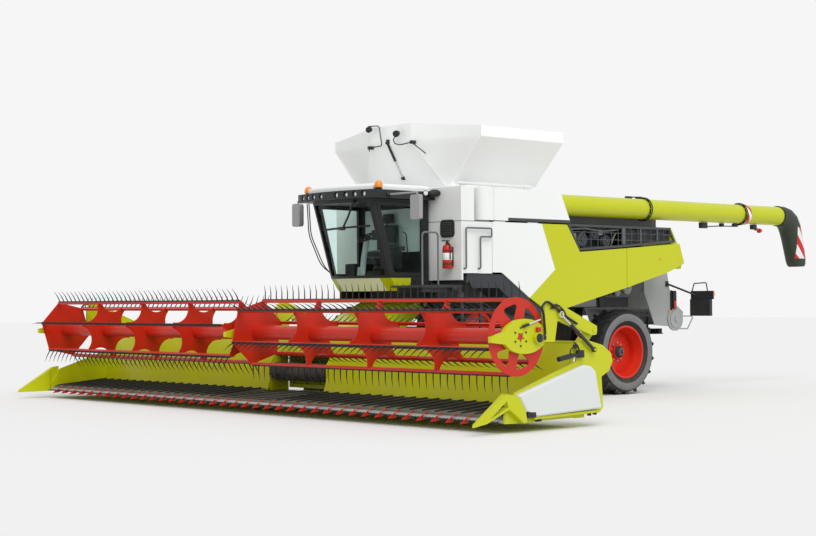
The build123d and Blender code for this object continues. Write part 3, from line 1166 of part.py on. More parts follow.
def draper_belts():
    rear_y = BACK_SHEET_Y - 8
    front_y = KNIFE_Y + 95
    belts = []
    side = side_plate([(front_y, PAN_TOP_Z + 0.6), (rear_y, 262), (rear_y, 322), (front_y, 232)], 800, CUT_HALF_WIDTH - 20)
    for index in range(int((CUT_HALF_WIDTH - 20 - BELT_RIB_START) / BELT_RIB_PITCH) + 1):
        x = BELT_RIB_START + index * BELT_RIB_PITCH
        side += side_plate([(front_y + 10, 220), (rear_y - 10, 310), (rear_y - 10, 345), (front_y + 10, 255)], x - 12, x + 12)
    belts += [side, mirrored(side)]
    centre = side_plate([(front_y, PAN_TOP_Z + 0.6), (-2500, 242), (-2500, 290), (front_y, 215)], -765, 765)
    for index in range(7):
        y = front_y + 120 + index * 190
        z = 215 + (y - front_y) * 75 / 1385
        centre += box(-760, 760, y - 10, y + 10, z - 10, z + 18)
    return group(belts + [centre])


def intake_drum():
    drum = rod_x(DRUM_RADIUS, -DRUM_HALF_WIDTH, DRUM_HALF_WIDTH, DRUM_Y, DRUM_Z)
    drum += rod_x(DRUM_SHAFT, -789, 789, DRUM_Y, DRUM_Z)
    for row in range(8):
        x = -630 + row * 180
        for turn in (0, 180):
            finger = Rot(90 * (row % 2) + turn, 0, 0) * rod_z(9, DRUM_RADIUS - 10, DRUM_RADIUS + 45, x, 0)
            drum += Pos(0, DRUM_Y, DRUM_Z) * finger
    return drum


save("feeder_house", feeder_house())
save("header_frame", header_frame())
save_both("header_end_covers", header_end_cover())
save("crop_dividers", group([open_divider(), closed_divider()]))
save("cutterbar", cutterbar())
save("draper_belts", draper_belts())
save("intake_drum", intake_drum())

# ---------------------------------------------------------------- reel arms and reel
REEL_STUB = 50
ARM_LOW = [(-3150, 1250), (-3150, 1730), (-3060, 1840), (-2930, 1830), (-2030, 1460), (-2040, 1335), (-2160, 1335),
           (-2880, 1560), (-2940, 1250)]


def reel_arm(x_low, x_high):
    arm = side_plate(ARM_LOW, x_low, x_high, 25)
    carrier = Pos(x_low, 0, 0) * extrude(Plane.YZ * (Pos(-3550, 1340) * Ellipse(430, 245)), amount=x_high - x_low, dir=(1, 0, 0))
    arm += carrier + side_plate([(-4220, 1265), (-4220, 1345), (-3900, 1420), (-3900, 1230)], x_low, x_high)
    arm += rod_x(70, x_low, x_high, REEL_PIVOT_Y, REEL_PIVOT_Z)
    arm -= rod_x(REEL_PIN + RUNNING_FIT, x_low - 1, x_high + 1, REEL_PIVOT_Y, REEL_PIVOT_Z)
    return arm - rod_x(REEL_STUB + RUNNING_FIT, x_low - 1, x_high + 1, REEL_Y, REEL_Z)


def end_arm():
    arm = reel_arm(ARM_IN_X, ARM_OUT_X)
    # Reel drive motor on the carrier
    arm += rod_x(78, ARM_OUT_X - 1, ARM_OUT_X + 62, -3321, 1313)
    arm += rod_x(40, ARM_OUT_X - 1, ARM_OUT_X + 74, -3321, 1313)
    return arm + rod_x(REEL_LIFT_PIN, ARM_OUT_X - 1, REEL_LIFT_X + 30, REEL_LIFT_EYE_Y, REEL_LIFT_EYE_Z)


SPIDER_COUNT = 5
SPIDER_THICKNESS = 12
SPIDER_CORNER = REEL_BAT_RADIUS + 14
RING_WINDOW = [(205, 0), (450, -172), (450, 172)]
STRIP_HALF = 20  # half height of the strips that clamp the tines to the bats
REEL_PHASE_LEFT = 17
REEL_PHASE_RIGHT = 47
BAT_ANGLES = [index * 360 / BAT_COUNT for index in range(BAT_COUNT)]


def end_plate_face():
    # A closed plate with a corner at each bat
    return RegularPolygon(SPIDER_CORNER, BAT_COUNT)


def spider_face():
    # The same plate with a scallop between each two arms
    face = end_plate_face()
    for angle in BAT_ANGLES:
        face -= Rot(0, 0, angle + 180 / BAT_COUNT) * Pos(SPIDER_CORNER + 56, 0) * Circle(250)
    return face


def ring_face():
    # The outer end: a ring with wide arms between rounded windows
    window = fillet(Polygon(*RING_WINDOW, align=None).vertices(), 45)
    face = Circle(REEL_RING_RADIUS)
    for angle in BAT_ANGLES:
        face -= Rot(0, 0, angle + 180 / BAT_COUNT) * window
    return face


def reel_half(phase, inner_face, outer_face):
    # Turned into place about the reel's own axis, which runs along X.
    tube_end = REEL_OUTER_X - SPIDER_THICKNESS
    reel = rod_x(REEL_TUBE_RADIUS, REEL_INNER_X, tube_end, 0, 0)
    reel += rod_x(REEL_STUB, 5, REEL_OUTER_X + 70, 0, 0)
    pitch = (tube_end - REEL_INNER_X) / (SPIDER_COUNT - 1)
    faces = [inner_face] + [spider_face()] * (SPIDER_COUNT - 2) + [outer_face]
    pieces = []
    for index, face in enumerate(faces):
        plate = extrude(Plane.YZ * face, amount=SPIDER_THICKNESS, dir=(1, 0, 0))
        pieces.append(Pos(REEL_INNER_X + index * pitch, 0, 0) * plate)
    half = BAT_SIZE / 2
    bat = box(REEL_INNER_X, REEL_OUTER_X - 1, REEL_BAT_RADIUS - half, REEL_BAT_RADIUS + half, -half, half)
    pieces += [Rot(angle, 0, 0) * bat for angle in BAT_ANGLES]
    return Pos(0, REEL_Y, REEL_Z) * Rot(phase, 0, 0) * (reel + pieces)


def tine_comb():
    # A strip on the bat's outer face with its row of tines, which bend back toward their tips
    base = REEL_BAT_RADIUS + BAT_SIZE / 2
    first = REEL_INNER_X + 60
    last = REEL_OUTER_X - 60
    strip = box(first - 30, last + 30, base, base + 14, -STRIP_HALF, STRIP_HALF)
    bend = base + 0.55 * TINE_LENGTH
    outline = [(base + 13, -12), (base + 13, 8), (bend, 30), (base + TINE_LENGTH, 66), (bend, 16)]
    tine = side_plate(outline, -4, 4)
    step = (last - first) / (TINES_PER_BAT - 1)
    return strip + [Pos(first + index * step, 0, 0) * tine for index in range(TINES_PER_BAT)]


def reel_tines(phase):
    comb = tine_comb()
    return Pos(0, REEL_Y, REEL_Z) * Rot(phase, 0, 0) * group([Rot(angle, 0, 0) * comb for angle in BAT_ANGLES])


save("reel_arms", group([end_arm(), mirrored(end_arm()), reel_arm(-40, 40)]))
save("reel_left", reel_half(REEL_PHASE_LEFT, end_plate_face(), ring_face()))
save("reel_right", mirrored(reel_half(REEL_PHASE_RIGHT, spider_face(), end_plate_face())))
save("reel_tines_left", reel_tines(REEL_PHASE_LEFT))
save("reel_tines_right", mirrored(reel_tines(REEL_PHASE_RIGHT)))


# ---------------------------------------------------------------- lift cylinders
EYE_PLAY = 14  # room for a rod's eye to drift about its pin as the linkage moves


def cylinder(pin, eye, x, half, sizes):
    # A barrel that turns on its pin, and a rod whose eye rides round the moving pin.
    barrel_radius, rod_radius, pin_radius, eye_pin, barrel_length = sizes
    length = math.hypot(eye[0] - pin[0], eye[1] - pin[1])
    angle = math.degrees(math.atan2(eye[1] - pin[1], eye[0] - pin[0]))
    barrel = rod_y(barrel_radius, pin_radius + 12, barrel_length, 0, 0)
    barrel -= rod_y(rod_radius + RUNNING_FIT, barrel_length * 0.4, barrel_length + 1, 0, 0)
    barrel += rod_x(pin_radius + 22, -half, half, 0, 0)
    barrel -= rod_x(pin_radius + RUNNING_FIT, -half - 1, half + 1, 0, 0)
    eye_radius = eye_pin + EYE_PLAY
    rod = rod_y(rod_radius, barrel_length * 0.6, length - eye_radius - 4, 0, 0)
    rod += rod_x(eye_radius + 16, -half, half, length, 0)
    rod -= rod_x(eye_radius, -half - 1, half + 1, length, 0)
    place = Pos(x, pin[0], pin[1]) * Rot(angle, 0, 0)
    return place * barrel, place * rod


# Barrel radius, rod radius, barrel's pin, eye's pin, barrel length
HEADER_LIFT = (62, 40, LIFT_PIN_RADIUS, LIFT_EYE_PIN, 1060)
REEL_LIFT = (26, 14, REEL_LIFT_PIN, REEL_LIFT_PIN, 620)

header_barrel, header_rod = cylinder((LIFT_PIN_Y, LIFT_PIN_Z), (LIFT_EYE_Y, LIFT_EYE_Z), LIFT_X,
                                     LIFT_HALF_GAP - 3, HEADER_LIFT)
reel_barrel, reel_rod = cylinder((REEL_LIFT_PIN_Y, REEL_LIFT_PIN_Z), (REEL_LIFT_EYE_Y, REEL_LIFT_EYE_Z), REEL_LIFT_X, 18,
                                 REEL_LIFT)
save_both("header_lift_barrels", header_barrel)
save_both("header_lift_rods", header_rod)
save_both("reel_lift_barrels", reel_barrel)
save_both("reel_lift_rods", reel_rod)
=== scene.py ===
import bmesh
import bpy
import math
from mathutils import Matrix, Vector


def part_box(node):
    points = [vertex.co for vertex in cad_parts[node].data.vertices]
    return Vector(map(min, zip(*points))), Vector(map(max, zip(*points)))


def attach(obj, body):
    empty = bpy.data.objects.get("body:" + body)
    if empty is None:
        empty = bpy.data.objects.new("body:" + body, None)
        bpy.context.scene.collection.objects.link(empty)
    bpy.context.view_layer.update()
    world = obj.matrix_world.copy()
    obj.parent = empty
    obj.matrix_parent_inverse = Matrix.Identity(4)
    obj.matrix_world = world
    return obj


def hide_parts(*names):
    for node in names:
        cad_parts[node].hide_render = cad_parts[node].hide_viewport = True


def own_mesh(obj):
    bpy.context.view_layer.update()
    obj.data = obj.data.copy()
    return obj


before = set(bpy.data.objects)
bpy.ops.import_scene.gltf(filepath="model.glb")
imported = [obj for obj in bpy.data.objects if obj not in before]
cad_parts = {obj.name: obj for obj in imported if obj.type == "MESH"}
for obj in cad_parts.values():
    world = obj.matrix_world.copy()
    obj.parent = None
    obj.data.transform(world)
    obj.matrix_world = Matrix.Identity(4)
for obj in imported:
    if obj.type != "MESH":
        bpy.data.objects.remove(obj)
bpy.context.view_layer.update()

# A combine harvester with a draper header. Every y below is measured from the front axle, which lies
# one wheelbase ahead of the rear wheels.
wheelbase = 4.145
rearHubZ = 0.823
rimLow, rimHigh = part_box("rear_rim_left")
frontAxleY = (rimLow.y + rimHigh.y) / 2 - wheelbase


def at(x, y, z):
    return Vector((x, y + frontAxleY, z))


# Camera and studio
studio = {
    "azimuth": 47.8,
    "elevation": -1.14,
    "roll": -0.397,
    "lens": 70.06,
    "sensorWidth": 36.0,
    "viewDepth": 400.0,
    "eye": (21.534, -22.511, 1.864),
    "sky": 0.6,
    "sun": 1.95,
    "sunFrom": (0.62, -0.3, 0.72),
    "sunWidth": 50,
    "backdrop": 0.922,
    "floorTone": 0.84,
    "floorRadius": 120.0,
}


def placeCamera(s):
    a, e, r = (math.radians(s[k]) for k in ("azimuth", "elevation", "roll"))
    back = Vector((math.sin(a) * math.cos(e), -math.cos(a) * math.cos(e), math.sin(e)))
    right = (-back).cross(Vector((0, 0, 1))).normalized()
    up = right.cross(-back)
    x = math.cos(r) * right + math.sin(r) * up
    y = math.cos(r) * up - math.sin(r) * right
    data = bpy.data.cameras.new("camera")
    data.lens = s["lens"]
    data.sensor_width = s["sensorWidth"]
    data.clip_end = s["viewDepth"]
    camera = bpy.data.objects.new("camera", data)
    bpy.context.scene.collection.objects.link(camera)
    turn = Matrix((x, y, back)).transposed().to_4x4()
    camera.matrix_world = Matrix.Translation(s["eye"]) @ turn
    bpy.context.scene.camera = camera


def seenDirectly(tree):
    # 1 for rays that show the backdrop: straight to the camera, in a reflection or through glass
    path = tree.nodes.new("ShaderNodeLightPath")
    first = maths(tree, "MAXIMUM", path.outputs["Is Camera Ray"], path.outputs["Is Glossy Ray"])
    return maths(tree, "MAXIMUM", first, path.outputs["Is Transmission Ray"])


def maths(tree, operation, a, b=0.0, clamp=False):
    node = tree.nodes.new("ShaderNodeMath")
    node.operation = operation
    node.use_clamp = clamp
    for socket, value in zip(node.inputs, (a, b)):
        if isinstance(value, (int, float)):
            socket.default_value = value
        else:
            tree.links.new(value, socket)
    return node.outputs[0]


def lightStudio(s):
    world = bpy.data.worlds.new("studio")
    bpy.context.scene.world = world
    world.use_nodes = True
    tree = world.node_tree
    background = tree.nodes["Background"]
    background.inputs["Color"].default_value = (1, 1, 1, 1)
    lift = maths(tree, "MULTIPLY", seenDirectly(tree), s["backdrop"] - s["sky"])
    tree.links.new(maths(tree, "ADD", lift, s["sky"]), background.inputs["Strength"])
    lamp = bpy.data.lights.new("window", "SUN")
    lamp.energy = s["sun"]
    lamp.angle = math.radians(s["sunWidth"])
    sun = bpy.data.objects.new("window", lamp)
    sun.rotation_mode = "QUATERNION"
    sun.rotation_quaternion = Vector(s["sunFrom"]).to_track_quat("Z", "Y")
    bpy.context.scene.collection.objects.link(sun)
    bpy.context.scene.view_settings.view_transform = "Standard"
    bpy.context.view_layer.update()


def newMaterial(name):
    material = bpy.data.materials.new(name)
    material.use_nodes = True
    return material, material.node_tree, material.node_tree.nodes["Principled BSDF"].inputs


def layFloor(s):
    bm = bmesh.new()
    bmesh.ops.create_circle(bm, cap_ends=True, segments=96, radius=s["floorRadius"])
    mesh = bpy.data.meshes.new("floor")
    bm.to_mesh(mesh)
    floor = bpy.data.objects.new("floor", mesh)
    bpy.context.scene.collection.objects.link(floor)
    material, _, shader = newMaterial("paleFloor")
    shader["Base Color"].default_value = (s["floorTone"],) * 3 + (1,)
    shader["Roughness"].default_value = 0.9
    shader["Specular IOR Level"].default_value = 0.0
    mesh.materials.append(material)


placeCamera(studio)
lightStudio(studio)
layFloor(studio)
print("studio and camera ready")

# Finishes


def place(tree):
    # Object coordinates, split into x, y and z
    node = tree.nodes.new("ShaderNodeTexCoord")
    split = tree.nodes.new("ShaderNodeSeparateXYZ")
    tree.links.new(node.outputs["Object"], split.inputs[0])
    return node.outputs["Object"], split.outputs


def noise(tree, where, size, detail=3.0):
    node = tree.nodes.new("ShaderNodeTexNoise")
    node.inputs["Scale"].default_value = 1.0 / size
    node.inputs["Detail"].default_value = detail
    tree.links.new(where, node.inputs["Vector"])
    return node.outputs["Fac"]


def spread(tree, value, low, high, newLow=0.0, newHigh=1.0):
    node = tree.nodes.new("ShaderNodeMapRange")
    for socket, number in zip(node.inputs[1:5], (low, high, newLow, newHigh)):
        socket.default_value = number
    tree.links.new(value, node.inputs[0])
    return node.outputs[0]


def blendColour(tree, share, a, b):
    node = tree.nodes.new("ShaderNodeMix")
    node.data_type = "RGBA"
    for socket, value in ((node.inputs[0], share), (node.inputs[6], a), (node.inputs[7], b)):
        if isinstance(value, tuple):
            socket.default_value = value + (1.0,)
        elif isinstance(value, float):
            socket.default_value = value
        else:
            tree.links.new(value, socket)
    return node.outputs[2]


def zone(shape=None, **limits):
    # Limits from and to: x is off the centre line, y from the front axle, z above the floor
    def mask(tree, xyz):
        axes = {"x": maths(tree, "ABSOLUTE", xyz[0]), "y": xyz[1], "z": xyz[2]}
        value = shape(tree, xyz) if shape else 1.0
        for limit, level in limits.items():
            operation = "GREATER_THAN" if limit.endswith("From") else "LESS_THAN"
            shift = frontAxleY if limit[0] == "y" else 0.0
            test = maths(tree, operation, axes[limit[0]], level + shift)
            value = maths(tree, "MULTIPLY", value, test)
        return value
    return mask


def diagonal(tree, xyz, a, b):
    return maths(tree, "ADD", maths(tree, "MULTIPLY", xyz[1], a), maths(tree, "MULTIPLY", xyz[2], b))


def overLine(slope, y, z):
    # Over a line through y and z that rises to the rear
    level = z - slope * (y + frontAxleY)
    return lambda tree, xyz: maths(tree, "GREATER_THAN", diagonal(tree, xyz, -slope, 1.0), level)


def slanted(a, b, pitch):
    # Diagonal bands, half on and half off
    def mask(tree, xyz):
        run = maths(tree, "DIVIDE", diagonal(tree, xyz, a, b), pitch)
        return maths(tree, "GREATER_THAN", maths(tree, "FRACT", run), 0.5)
    return mask


def ringBand(y, z, low, high):
    # Between two distances from a wheel's axis
    def mask(tree, xyz):
        squares = []
        for value, centre in ((xyz[1], y + frontAxleY), (xyz[2], z)):
            off = maths(tree, "SUBTRACT", value, centre)
            squares.append(maths(tree, "MULTIPLY", off, off))
        reach = maths(tree, "SQRT", maths(tree, "ADD", *squares))
        outside, inside = maths(tree, "GREATER_THAN", reach, low), maths(tree, "LESS_THAN", reach, high)
        return maths(tree, "MULTIPLY", outside, inside)
    return mask


def finish(name, colour, rough, metal=0.0, coat=0.0, mottle=0.05, mottleSize=0.9, grain=0.06,
           grainSize=0.004, soil=0.0, soilTop=0.9, zones=(), sheen=0.0):
    # Colour with slow mottling, zones of other colours, fine surface grain and dust that thins out upwards
    material, tree, shader = newMaterial(name)
    shader["Metallic"].default_value = metal
    shader["Coat Weight"].default_value = coat
    shader["Coat Roughness"].default_value = 0.12
    shader["Specular IOR Level"].default_value = 0.5 if metal else 0.32
    shader["Sheen Weight"].default_value = sheen
    where, xyz = place(tree)
    tint = None
    for mask, other in ((None, colour),) + tuple(zones):
        light = tuple(min(1.0, c * (1 + mottle)) for c in other)
        dark = tuple(c * (1 - mottle) for c in other)
        shade = blendColour(tree, noise(tree, where, mottleSize), dark, light)
        tint = shade if mask is None else blendColour(tree, mask(tree, xyz), tint, shade)
    if soil:
        drift = maths(tree, "MULTIPLY", spread(tree, xyz[2], soilTop, 0.0, 0.0, soil),
                      spread(tree, noise(tree, where, 0.12, 6), 0.35, 0.65), clamp=True)
        tint = blendColour(tree, drift, tint, dustBrown)
    tree.links.new(tint, shader["Base Color"])
    glossNoise = noise(tree, where, mottleSize * 0.4, 5)
    tree.links.new(spread(tree, glossNoise, 0.3, 0.7, max(0.02, rough - 0.06), min(1.0, rough + 0.06)),
                   shader["Roughness"])
    if grain:
        bump = tree.nodes.new("ShaderNodeBump")
        bump.inputs["Strength"].default_value = grain
        bump.inputs["Distance"].default_value = grainSize * 0.5
        tree.links.new(noise(tree, where, grainSize, 2), bump.inputs["Height"])
        tree.links.new(bump.outputs[0], shader["Normal"])
    return material


def clearFinish(name, colour, rough):
    # Tinted glass: see-through with a gloss, a little dusty
    material, tree, shader = newMaterial(name)
    shader["Transmission Weight"].default_value = 1.0
    shader["IOR"].default_value = 1.1
    where, _ = place(tree)
    tree.links.new(blendColour(tree, noise(tree, where, 0.5), colour, tuple(c * 0.96 for c in colour)),
                   shader["Base Color"])
    tree.links.new(spread(tree, noise(tree, where, 0.3, 5), 0.3, 0.7, rough * 0.5, rough * 1.5),
                   shader["Roughness"])
    return material


lime = (0.52, 0.55, 0.004)
white = (0.83, 0.85, 0.84)
red = (0.53, 0.02, 0.006)
# Painted shadow: the near-black that the draper belts get above a line, in place of the shade that falls there
paintedBeltShadow = (0.03, 0.03, 0.026)
seamGrey = (0.3, 0.31, 0.31)
dustBrown = (0.2, 0.15, 0.1)

limePaint = finish("limePaint", lime, 0.36, coat=0.12, mottle=0.03, grain=0.03)
tubeLime = finish("tubeLime", (0.5, 0.54, 0.003), 0.36, coat=0.12, mottle=0.03, grain=0.03)
whitePaint = finish("whitePaint", white, 0.38, coat=0.15, mottle=0.015, grain=0.03)
coverWhite = finish("coverWhite", (0.94, 0.955, 0.945), 0.5, mottle=0.02, grain=0.03)
endCoverWhite = finish("endCoverWhite", (0.66, 0.69, 0.68), 0.42, coat=0.12, mottle=0.02, grain=0.03)
greyPaint = finish("greyPaint", (0.36, 0.375, 0.37), 0.42, coat=0.2, mottle=0.03, soil=0.25, soilTop=1.6)
hoodGrey = finish("hoodGrey", (0.33, 0.345, 0.34), 0.45, mottle=0.05, mottleSize=0.4, soil=0.2, soilTop=1.9)
shellGrey = finish("shellGrey", (0.33, 0.34, 0.345), 0.4, coat=0.2, mottle=0.04)
shellDark = finish("shellDark", (0.095, 0.102, 0.108), 0.45, mottle=0.12, mottleSize=0.3)
slatGrey = finish("slatGrey", (0.075, 0.08, 0.08), 0.5, mottle=0.06)
columnGrey = finish("columnGrey", (0.42, 0.45, 0.44), 0.45, mottle=0.04, grain=0.08)
grillePaint = finish("grillePaint", (0.055, 0.06, 0.062), 0.42, mottle=0.1)
framePaint = finish("framePaint", (0.022, 0.024, 0.026), 0.5, mottle=0.25, mottleSize=0.3, soil=0.5,
                    soilTop=1.9)
housingGrey = finish("housingGrey", (0.1, 0.105, 0.105), 0.55, mottle=0.2, mottleSize=0.25, soil=0.3,
                     soilTop=2.4)
castDark = finish("castDark", (0.035, 0.036, 0.038), 0.6, mottle=0.3, mottleSize=0.08, grain=0.2,
                  grainSize=0.006)
fenderPlastic = finish("fenderPlastic", (0.033, 0.037, 0.044), 0.42, mottle=0.08, grain=0.15,
                       grainSize=0.002)
trimPlastic = finish("trimPlastic", (0.02, 0.022, 0.023), 0.45, mottle=0.1, grain=0.12, grainSize=0.002)
redPaint = finish("redPaint", red, 0.38, coat=0.12, mottle=0.04, soil=0.12, soilTop=0.9)
rimRed = finish("rimRed", (0.62, 0.024, 0.007), 0.38, coat=0.12, mottle=0.04, grain=0.03)
trackRubber = finish("trackRubber", (0.022, 0.022, 0.022), 0.8, mottle=0.25, mottleSize=0.15, grain=0.3,
                     soil=0.7, soilTop=0.6)
rodSteel = finish("rodSteel", (0.75, 0.76, 0.78), 0.16, metal=1.0, mottle=0.03, grain=0)
zincSteel = finish("zincSteel", (0.5, 0.5, 0.48), 0.38, metal=0.85, mottle=0.12, mottleSize=0.05)
tineBlack = finish("tineBlack", (0.018, 0.018, 0.018), 0.5, mottle=0.2)
mirrorGlass = finish("mirrorGlass", (0.8, 0.82, 0.84), 0.06, metal=1.0, mottle=0.02, grain=0)
lampGlass = finish("lampGlass", (0.85, 0.86, 0.86), 0.12, coat=0.6, mottle=0.05, mottleSize=0.03)
amberGlass = finish("amberGlass", (0.85, 0.25, 0.006), 0.14, coat=0.7, mottle=0.08, mottleSize=0.05)
redGlass = finish("redGlass", (0.55, 0.012, 0.01), 0.14, coat=0.7, mottle=0.1, mottleSize=0.05)
cabGlassTint = clearFinish("cabGlassTint", (0.84, 0.95, 0.93), rough=0.03)
seatCloth = finish("seatCloth", (0.03, 0.045, 0.045), 0.85, mottle=0.15, mottleSize=0.05, grain=0.4,
                   grainSize=0.003, sheen=0.4)
gussetCloth = finish("gussetCloth", (0.9, 0.92, 0.91), 0.62, mottle=0.02, grain=0.1, grainSize=0.002,
                     sheen=0.1)
# The belts' upper rear part is painted near-black above a line that rises to the rear: painted shadow, not a
# belt colour
beltRubber = finish("beltRubber", (0.15, 0.148, 0.11), 0.75, mottle=0.15, mottleSize=0.25, grain=0.3, zones=(
    (zone(overLine(slope=0.065, y=-3.885, z=0.236), xFrom=0.8), paintedBeltShadow),
    (zone(overLine(slope=0.054, y=-3.885, z=0.219), xTo=0.79), paintedBeltShadow),
))
knifePaint = finish("knifePaint", red, 0.4, coat=0.1, mottle=0.05, zones=(
    (zone(yFrom=-3.985, zTo=0.198), (0.44, 0.44, 0.42)),
))
tyreRubber = finish("tyreRubber", (0.02, 0.02, 0.021), 0.72, mottle=0.25, mottleSize=0.1, grain=0.3, soil=0.25,
                    soilTop=1.1, zones=(
    # A painted highlight: a pale grey ring on the outer sidewall, between 0.6 m and 0.735 m from the hub
    (zone(ringBand(wheelbase, rearHubZ, low=0.6, high=0.735), xFrom=1.585), (0.17, 0.172, 0.175)),
))
fairingPaint = finish("fairingPaint", white, 0.38, coat=0.15, mottle=0.015, zones=(
    (zone(yFrom=0.76, zTo=3.318), (0.05, 0.052, 0.053)),
    (zone(yFrom=0.398, yTo=0.404), seamGrey),
))
skirt = {"yTo": -0.83, "zTo": 2.245}
cabPaint = finish("cabPaint", (0.016, 0.018, 0.019), 0.42, mottle=0.1, grain=0.08, zones=(
    (zone(**skirt), white),
    (zone(**skirt, xFrom=0.6), lime),
    (zone(xTo=0.74, yFrom=-0.6, zFrom=2.72, zTo=3.5), (0.6, 0.66, 0.64)),
))
roofPaint = finish("roofPaint", (0.02, 0.022, 0.023), 0.4, mottle=0.08, zones=((zone(zFrom=3.7655), white),))
bodyPaint = finish("bodyPaint", white, 0.38, coat=0.3, mottle=0.015, zones=(
    (zone(yTo=1.97, zFrom=3.225, zTo=3.242), seamGrey),
))
hoodPaint = finish("hoodPaint", (0.1, 0.105, 0.105), 0.5, mottle=0.1, zones=(
    (zone(zFrom=3.3), (0.16, 0.165, 0.165)),
))
deckPaint = finish("deckPaint", (0.04, 0.042, 0.044), 0.55, mottle=0.15, grain=0.2, grainSize=0.006, zones=(
    (zone(zFrom=2.115), (0.15, 0.155, 0.16)),
))
onBoot = {"xFrom": 1.6, "yFrom": 9.76, "zFrom": 2.7, "zTo": 3.38}
spoutRubber = finish("spoutRubber", (0.03, 0.04, 0.026), 0.5, mottle=0.15, grain=0.15, zones=(
    (zone(**onBoot), (0.72, 0.74, 0.74)),
    (zone(slanted(0.75, 0.66, pitch=0.27), **onBoot), (0.55, 0.015, 0.02)),
))
markerBand = finish("markerBand", (0.8, 0.82, 0.82), 0.4, mottle=0.03, zones=(
    (slanted(0.9, 0.5, pitch=0.16), (0.55, 0.02, 0.02)),
))

# Making meshes, with y measured from the front axle until a piece is finished


def addBox(bm, low, high, edge):
    size = Vector([b - a for a, b in zip(low, high)])
    centre = Vector([(a + b) / 2 for a, b in zip(low, high)])
    made = bmesh.ops.create_cube(bm, size=1.0)["verts"]
    bmesh.ops.scale(bm, vec=size, verts=made)
    if edge:
        edges = list({e for v in made for e in v.link_edges})
        made = bmesh.ops.bevel(bm, geom=edges, offset=edge, segments=2, affect="EDGES", profile=0.6)["verts"]
    bmesh.ops.translate(bm, vec=centre, verts=made)
    return made


def joinRings(bm, rings):
    for a, b in zip(rings, rings[1:]):
        count = max(len(a), len(b))
        for k in range(count):
            n = (k + 1) % count
            corners = [a[k % len(a)], a[n % len(a)], b[n % len(b)], b[k % len(b)]]
            bm.faces.new(list(dict.fromkeys(corners)))
    for end in (rings[0], rings[-1]):
        if len(end) > 2:
            bm.faces.new(end)


def addTurned(bm, profile, centre, axis, sides):
    # Turned about an axis through the centre, from a list of (distance along it, radius)
    frameTurn = Vector(axis).to_track_quat("Z", "Y").to_matrix()
    rings = []
    for along, radius in profile:
        count = sides if radius > 1e-5 else 1
        ring = []
        for k in range(count):
            angle = 2 * math.pi * k / count
            point = Vector((radius * math.cos(angle), radius * math.sin(angle), along))
            ring.append(bm.verts.new(Vector(centre) + frameTurn @ point))
        rings.append(ring)
    joinRings(bm, rings)


def bentPath(points, bend, steps=5):
    # Straight runs joined by rounded corners
    points = [Vector(p) for p in points]
    path = [points[0]]
    for a, b, c in zip(points, points[1:], points[2:]):
        cut = min(bend, 0.45 * (b - a).length, 0.45 * (c - b).length)
        start = b + (a - b).normalized() * cut
        end = b + (c - b).normalized() * cut
        for k in range(steps + 1):
            t = k / steps
            path.append(start * (1 - t) ** 2 + b * 2 * t * (1 - t) + end * t ** 2)
    path.append(points[-1])
    return path


def addTube(bm, points, radius, bend, sides):
    path = bentPath(points, bend)
    rings = []
    side = None
    for k, point in enumerate(path):
        forward = (path[min(k + 1, len(path) - 1)] - path[max(k - 1, 0)]).normalized()
        side = forward.orthogonal() if side is None else side - forward * side.dot(forward)
        side.normalize()
        other = forward.cross(side)
        rings.append([bm.verts.new(point + radius * (math.cos(2 * math.pi * j / sides) * side
                                                     + math.sin(2 * math.pi * j / sides) * other))
                      for j in range(sides)])
    joinRings(bm, rings)


def addPlate(bm, outline, axis, low, high, edge):
    # A flat plate across one axis, from the two other coordinates of its corners
    sheets = []
    for level in (low, high):
        sheet = []
        for corner in outline:
            point = list(corner)
            point.insert(axis, level)
            sheet.append(bm.verts.new(point))
        sheets.append(sheet)
    joinRings(bm, sheets)
    if edge:
        rim = list({e for v in sheets[0] + sheets[1] for e in v.link_edges})
        bmesh.ops.bevel(bm, geom=rim, offset=edge, segments=2, affect="EDGES")


def roundedOutline(low, high, radius, steps=5):
    # Corners of a rounded rectangle, as pairs
    outline = []
    for x, y, start in ((high[0] - radius, high[1] - radius, 0), (low[0] + radius, high[1] - radius, 90),
                        (low[0] + radius, low[1] + radius, 180), (high[0] - radius, low[1] + radius, 270)):
        for k in range(steps + 1):
            angle = math.radians(start + 90 * k / steps)
            outline.append((x + radius * math.cos(angle), y + radius * math.sin(angle)))
    return outline


def mirrored(point, side):
    return (side * point[0], *point[1:])


def scaled(shape, radius):
    # A profile whose radii are given as shares of one radius
    return [(along, share * radius) for along, share in shape]


def moved(point, corners, edge):
    # A box row whose corners are measured from a point
    return (*(Vector(point) + Vector(c) for c in corners), edge)


def meshPiece(name, mesh, material, body, replaced=()):
    if material:
        mesh.materials.clear()
        mesh.materials.append(material)
    piece = bpy.data.objects.new(name, mesh)
    bpy.context.scene.collection.objects.link(piece)
    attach(piece, body)
    if replaced:
        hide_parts(*replaced)
    return piece


def toPiece(name, bm, material, body, replaced=(), crease=35):
    # Cloth has no crease, and keeps its faces as they were made
    bmesh.ops.translate(bm, vec=(0, frontAxleY, 0), verts=bm.verts)
    if crease:
        bmesh.ops.recalc_face_normals(bm, faces=bm.faces)
    mesh = bpy.data.meshes.new(name)
    bm.to_mesh(mesh)
    bm.free()
    mesh.shade_smooth()
    if crease:
        mesh.set_sharp_from_angle(angle=math.radians(crease))
    return meshPiece(name, mesh, material, body, replaced)


